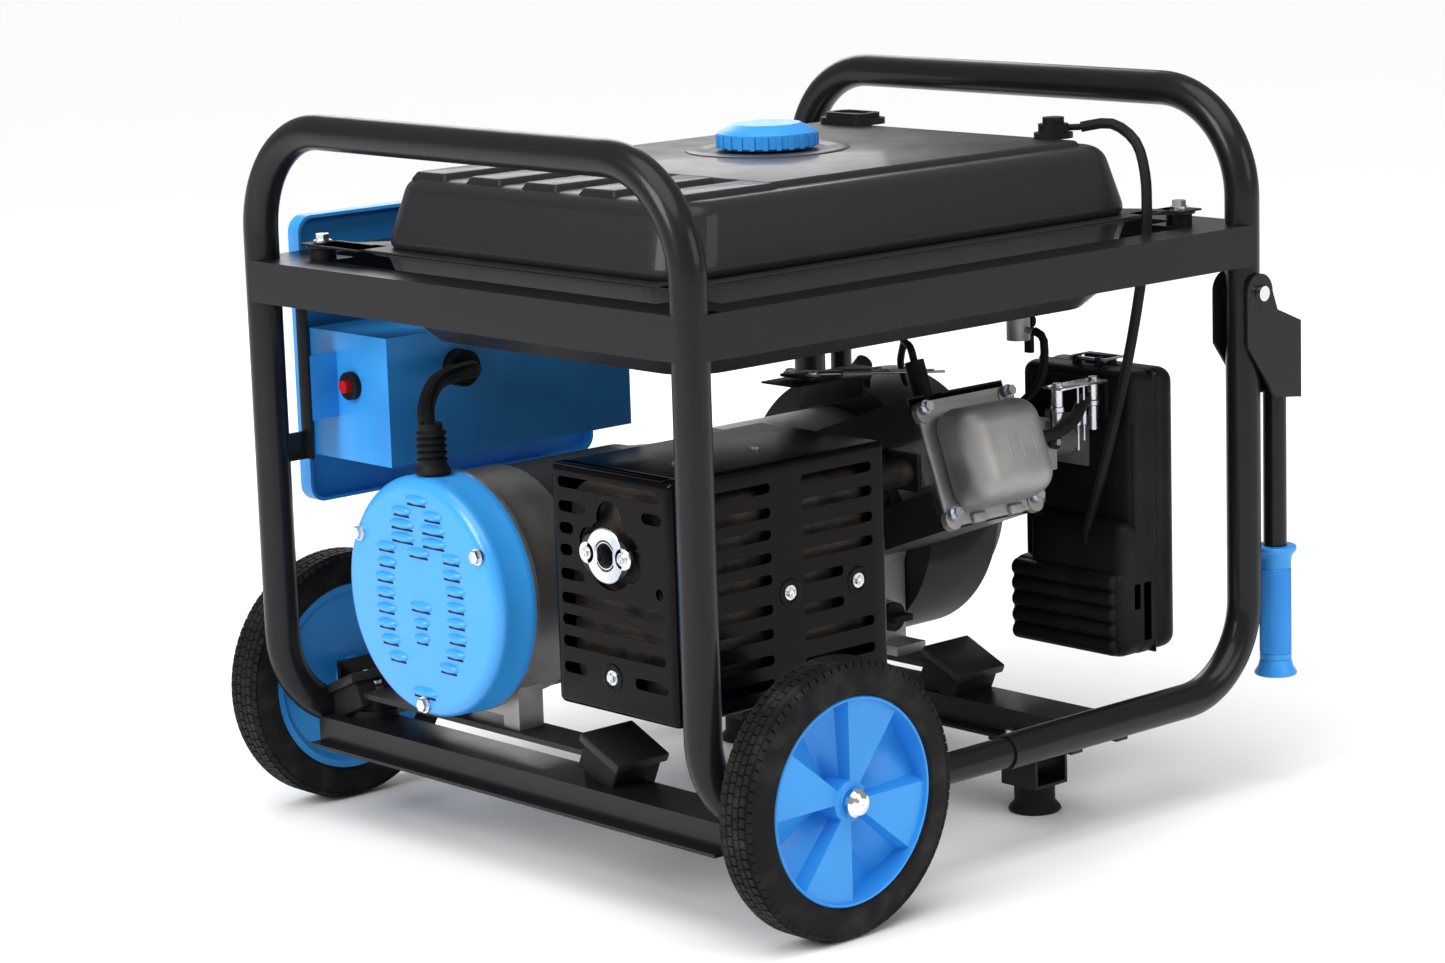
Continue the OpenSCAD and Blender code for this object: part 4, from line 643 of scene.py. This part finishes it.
def make_tank(looks):
    """The tank's upper shell: flange, tapered body, raised deck with fingers and the filler's ring."""
    node = "tank_upper"
    lo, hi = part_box(node)
    cap_lo, cap_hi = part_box("cap_shell")
    top = cap_lo.z - 2 * MM
    filler = ((cap_lo.x + cap_hi.x) / 2, (cap_lo.y + cap_hi.y) / 2)
    base = lo.z
    centre = at(*TANK_MIDDLE, 0)
    half_l, half_w, border, corner = 288 * MM, 209 * MM, 5 * MM, 45 * MM
    body = block(centre + Vector((-half_l, -half_w, base)), centre + Vector((half_l, half_w, top - border)))
    edit(body, "EDGE")
    for edge in body.data.edges:
        ends = [body.data.vertices[v].co for v in edge.vertices]
        edge.select = abs(ends[0].z - ends[1].z) > 20 * MM
    bpy.ops.object.mode_set(mode="EDIT")
    bpy.ops.mesh.bevel(offset=corner, segments=10, affect="EDGES")
    leave()
    for vertex in body.data.vertices:
        if vertex.co.z > base + 20 * MM:
            vertex.co.x = centre.x + (vertex.co.x - centre.x) * (1 - 20 * MM / half_l)
            vertex.co.y = centre.y + (vertex.co.y - centre.y) * (1 - 13 * MM / half_w)
    bevel(body, 13 * MM, 6, 50)
    parts = [body]

    def raised(x0, x1, y0, y1):
        """A part of the raised deck, given in millimetres from the tank's middle."""
        deck = block(centre + at(x0, y0, 0) + Vector((0, 0, top - border - 3 * MM)),
                     centre + at(x1, y1, 0) + Vector((0, 0, top)))
        pick(deck, lambda v: v.co.z > top - 2 * MM)
        bpy.ops.transform.resize(value=(1 - 10 / (x1 - x0), 1 - 10 / (y1 - y0), 1))
        leave()
        parts.append(bevel(deck, 2.4 * MM, 3, 20))

    raised(-150, 245, -172, 172)
    for k in range(5):
        raised(-262, -140, -178 + 76 * k, -178 + 76 * k + 50)
    rim = [(53, -1), (76, -1), (75, 0.8), (70, 1.9), (62, 1.7), (56, 0.4), (54, 0.3)]
    ring = turned([(r * MM, h * MM) for r, h in rim], 72)
    parts.append(point_along(ring, (0, 0, 1), (*filler, top)))
    neck = turned([(27 * MM, -4 * MM), (30 * MM, -4 * MM), (30 * MM, 8.8 * MM), (27 * MM, 8.8 * MM)], 64)
    parts.append(point_along(neck, (0, 0, 1), (*filler, top)))
    flange = block(centre + at(-298, -219, 0) + Vector((0, 0, base)),
                   centre + at(298, 219, 0) + Vector((0, 0, base + 2 * MM)))
    parts.append(bevel(flange, 40 * MM, 8, UPRIGHT))
    reach = EAR_HALF * MM
    for sx in (-1, 1):
        for sy in (-1, 1):
            tip = at(sx * EARS[0] + RAIL_MIDDLE, sy * EARS[1], 0)
            inner = Vector((centre.x + sx * 270 * MM, sy * 200 * MM + centre.y, 0))
            low = Vector((min(tip.x - reach, inner.x), min(tip.y - reach, inner.y), base))
            high = Vector((max(tip.x + reach, inner.x), max(tip.y + reach, inner.y), base + 2 * MM))
            ear = block((tip.x - reach, low.y, base), (tip.x + reach, high.y, base + 2 * MM))
            arm = block((low.x, min(tip.y, inner.y), base), (high.x, max(tip.y, inner.y), base + 2 * MM))
            parts += [bevel(ear, 12 * MM, 6, UPRIGHT), bevel(arm, 0.5 * MM, 2)]
    finished(joined(parts), "pressed_tank", "frame", looks["black_sheet"], [node], 40)


def make_mount_caps(looks):
    """Leaning rubber blocks with folded steel caps over the ends of the mount bars."""
    lo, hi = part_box("mount_bars")
    bar_half, end_in, below = 20 * MM, 7 * MM, 2 * MM
    rubbers, caps = [], []
    for x in (lo.x + bar_half, hi.x - bar_half):
        for y in (lo.y + end_in, hi.y - end_in):
            place = Vector((x, y, lo.z - below))
            lean = Matrix.Translation(place) @ Matrix.Rotation(math.radians(24 if y < 0 else -24), 4, "X")
            rubber = block(at(-26, -24, -17), at(26, 24, 15), 3 * MM, 3)
            cap = block(at(-30, -27, 8), at(30, 27, 17), 2 * MM, 2)
            pick(cap, lambda f: f.normal.z < -0.9, faces=True)
            bpy.ops.mesh.inset(thickness=3 * MM, depth=-5 * MM)
            leave()
            for piece in (rubber, cap):
                piece.data.transform(lean)
            rubbers.append(rubber)
            caps.append(cap)
    finished(joined(rubbers), "mount_blocks", "frame", looks["rubber"])
    finished(joined(caps), "mount_caps", "frame", looks["black_sheet"])


def make_grip(side, looks):
    """A flared handle grip with rings and shallow flutes."""
    node = "grip_" + side
    lo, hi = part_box(node)
    long, r, flare = hi.z - lo.z, 15 * MM, (hi.x - lo.x) / 2
    outline = [(0, 0), (flare - 1 * MM, 0), (flare, 1 * MM), (flare, 2.5 * MM), (r + 1.5 * MM, 8 * MM),
               (r, 14 * MM), (r - 0.8 * MM, 15 * MM), (r, 16 * MM), (r, 20 * MM), (r - 0.8 * MM, 21 * MM),
               (r, 22 * MM), (r, long - 22 * MM), (r - 0.8 * MM, long - 21 * MM), (r, long - 20 * MM),
               (r, long - 14 * MM), (r + 1 * MM, long - 9 * MM), (flare, long - 4 * MM),
               (flare, long - 1 * MM), (flare - 1 * MM, long), (11.1 * MM, long), (11.1 * MM, 2 * MM),
               (0, 2 * MM)]
    piece = turned(outline, 72)
    pick(piece, lambda f: 24 * MM < f.center.z < long - 24 * MM
         and abs(math.hypot(f.center.x, f.center.y) - r) < 1 * MM, faces=True)
    bpy.ops.mesh.inset(thickness=0.25 * MM, depth=-0.35 * MM, use_individual=True)
    leave()
    piece.data.transform(Matrix.Translation(((lo.x + hi.x) / 2, (lo.y + hi.y) / 2, lo.z)))
    finished(piece, "ringed_" + node, "handle_" + side, looks["blue_plastic"], [node])


def make_outlet_flange(looks):
    """The bright flange and its two screws on the muffler's outlet."""
    lo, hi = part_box("muffler")
    centre = at(3.4, *OUTLET) + Vector((lo.x, 0, 0))
    rings = [turned([(13 * MM, 0), (24 * MM, 0), (24 * MM, 3 * MM), (23 * MM, 3.8 * MM),
                     (14 * MM, 3.8 * MM), (13 * MM, 3 * MM)], 64)]
    point_along(rings[0], (-1, 0, 0), centre)
    pipe = turned([(11 * MM, -14 * MM), (12.8 * MM, -14 * MM), (12.8 * MM, 3.2 * MM), (11 * MM, 3.2 * MM)],
                  48)
    rings.append(point_along(pipe, (-1, 0, 0), centre))
    for side in (-1, 1):
        ear = turned([(3.4 * MM, 0), (10 * MM, 0), (10 * MM, 3 * MM), (9.2 * MM, 3.8 * MM),
                      (3.4 * MM, 3.8 * MM)], 32)
        rings.append(point_along(ear, (-1, 0, 0), centre + at(0, side * 23, 0)))
        web = block(centre + at(-3.6, side * 23 - 8, -8), centre + at(0, side * 23 + 8, 8), 1 * MM, 2)
        web.data.transform(Matrix.Translation(at(0, -side * 5, 0)))
        rings.append(web)
        rings.append(hex_bolt((-1, 0, 0), centre + at(-3.8, side * 23, 0), 4.2, 3))
    finished(joined(rings), "outlet_flange", "frame", looks["zinc"], smooth=30)


def rod_between(first, second, radius):
    """A round rod from one point to another."""
    span = second - first
    rod = turned([(0, 0), (radius, 0), (radius, span.length), (0, span.length)], 16)
    return point_along(rod, span, first)


def make_linkage(looks):
    """Governor plate, lever, rods and spring over the cylinder, between the guard and the tank."""
    lo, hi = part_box("engine_cylinder")
    left, back, top = lo.x, hi.y, hi.z
    plate = block((left - 50 * MM, back - 70 * MM, top + 10 * MM),
                  (left + 70 * MM, back - 20 * MM, top + 12 * MM), 0.7 * MM, 2)
    fold = block((left - 50 * MM, back - 72 * MM, top - 8 * MM),
                 (left + 30 * MM, back - 70 * MM, top + 12 * MM), 0.7 * MM, 2)
    lever = block((left - 30 * MM, back - 66 * MM, top + 14 * MM),
                  (left - 18 * MM, back - 24 * MM, top + 17 * MM), 1 * MM, 2)
    stands = [rod_between(Vector((x, back - 45 * MM, top - 6 * MM)),
                          Vector((x, back - 45 * MM, top + 10 * MM)), 5 * MM)
              for x in (left + 20 * MM, left + 60 * MM)]
    finished(joined([plate, fold, lever] + stands), "governor_plate", "frame",
             looks["black_sheet"])
    near = Vector((left - 24 * MM, back - 62 * MM, top + 19 * MM))
    far = Vector((left + 108 * MM, back - 100 * MM, top + 8 * MM))
    parts = [rod_between(near, far, 1.2 * MM),
             rod_between(near + at(0, 30, 0), far + at(0, 14, 0), 1.2 * MM)]
    for place in (near, near + at(0, 30, 0), Vector((left + 62 * MM, back - 60 * MM, top + 12 * MM))):
        parts.append(hex_bolt((0, 0, 1), place - at(0, 0, 1)))
    along = (far - near).normalized()
    for k in range(14):
        coil = fresh(bpy.ops.mesh.primitive_torus_add, major_radius=4 * MM, minor_radius=0.8 * MM,
                     major_segments=20, minor_segments=8)
        parts.append(point_along(coil, along, near + along * (30 + 2.2 * k) * MM))
    finished(joined(parts), "governor_rods", "frame", looks["steel"])


def make_boot(looks):
    """Bellows of the loom's rubber boot."""
    lo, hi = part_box("harness")
    outline = [(9 * MM, 0), (16 * MM, 0), (16.5 * MM, 2 * MM), (13 * MM, 8 * MM)]
    for k in range(5):
        outline += [(13.2 * MM, (10 + 6 * k) * MM), (14 * MM, (12 + 6 * k) * MM),
                    (11 * MM, (14 + 6 * k) * MM)]
    outline += [(10.5 * MM, 44 * MM), (9 * MM, 44 * MM)]
    boot = turned(outline, 48)
    point_along(boot, (0, 0, 1), lo + at(16, 16, 0))
    finished(boot, "boot_bellows", "frame", looks["rubber"])


# ---------- camera, light and floor ----------

def make_camera():
    data = bpy.data.cameras.new("camera")
    data.lens, data.sensor_width = 97.2, 36.0
    camera = bpy.data.objects.new("camera", data)
    yaw, pitch, roll = (math.radians(a) for a in (47.834, -10.893, -1.824))
    ahead = Vector((math.cos(pitch) * math.cos(yaw), math.cos(pitch) * math.sin(yaw), math.sin(pitch)))
    right = ahead.cross(Vector((0, 0, 1))).normalized()
    up = right.cross(ahead)
    turned_right = math.cos(roll) * right + math.sin(roll) * up
    turned_up = -math.sin(roll) * right + math.cos(roll) * up
    camera.matrix_world = Matrix.Translation((-2.4277, -2.6001, 0.9914)) @ Matrix(
        (turned_right, turned_up, -ahead)).transposed().to_4x4()
    data.clip_start, data.clip_end = 0.05, 60
    bpy.context.scene.collection.objects.link(camera)
    bpy.context.scene.camera = camera


def light(name, place, size, power):
    data = bpy.data.lights.new(name, "AREA")
    data.shape, data.size, data.energy = "SQUARE", size, power
    lamp = bpy.data.objects.new(name, data)
    lamp.location = place
    lamp.rotation_euler = (Vector((0, 0, 0.3)) - Vector(place)).to_track_quat("-Z", "Y").to_euler()
    bpy.context.scene.collection.objects.link(lamp)


def make_studio():
    floor = fresh(bpy.ops.mesh.primitive_plane_add, size=40)
    floor.name = "floor"
    paint = Look("floor_paint", Roughness=0.9, Base_Color=(0.96, 0.96, 0.96, 1))
    floor.data.materials.append(paint.material)
    world = bpy.data.worlds.new("world")
    world.use_nodes = True
    nodes, links = world.node_tree.nodes, world.node_tree.links
    fill = nodes["Background"]
    fill.inputs["Strength"].default_value = 0.33
    fill.inputs["Color"].default_value = (1, 1, 1, 1)
    seen = nodes.new("ShaderNodeBackground")
    seen.inputs["Color"].default_value = (1, 1, 1, 1)
    seen.inputs["Strength"].default_value = 1.0
    path, either = nodes.new("ShaderNodeLightPath"), nodes.new("ShaderNodeMixShader")
    links.new(path.outputs["Is Camera Ray"], either.inputs[0])
    links.new(fill.outputs[0], either.inputs[1])
    links.new(seen.outputs[0], either.inputs[2])
    links.new(either.outputs[0], nodes["World Output"].inputs["Surface"])
    bpy.context.scene.world = world
    light("key", (-3.0, 0.1, 1.9), 1.3, 62)
    light("side", (0.9, -3.2, 1.7), 1.5, 22)
    light("back", (1.8, 2.6, 1.8), 1.5, 24)
    overhead = bpy.data.lights.new("overhead", "SUN")
    overhead.energy, overhead.angle = 2.35, math.radians(60)
    lamp = bpy.data.objects.new("overhead", overhead)
    lamp.rotation_euler = (math.radians(12), math.radians(-14), 0)
    bpy.context.scene.collection.objects.link(lamp)


# ---------- scene ----------

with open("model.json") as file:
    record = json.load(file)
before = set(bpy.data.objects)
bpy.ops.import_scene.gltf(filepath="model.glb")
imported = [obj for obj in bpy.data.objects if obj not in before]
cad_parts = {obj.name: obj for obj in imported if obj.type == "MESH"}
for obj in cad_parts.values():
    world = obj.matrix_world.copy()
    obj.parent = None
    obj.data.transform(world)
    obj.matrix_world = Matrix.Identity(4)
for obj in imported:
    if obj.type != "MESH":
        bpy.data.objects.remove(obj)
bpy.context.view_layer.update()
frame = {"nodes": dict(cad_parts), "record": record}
make_camera()
make_studio()
bpy.context.scene.view_settings.view_transform = "Standard"
looks = make_looks()
slots = {entry["node"]: entry["material_slot"] for entry in frame["record"]["subparts"]}
for name, node in frame["nodes"].items():
    node.data.materials.clear()
    node.data.materials.append(looks[slots[name]])
    bpy.ops.object.select_all(action="DESELECT")
for side in ("left", "right"):
    make_tyre(side, looks)
    make_hub(side, looks)
    make_grip(side, looks)
make_cover(looks)
make_valve_cover(looks)
make_air_cleaner(looks)
make_tank(looks)
make_guard(looks)
make_throttle_bracket(looks)
make_mount_caps(looks)
make_outlet_flange(looks)
make_linkage(looks)
make_boot(looks)
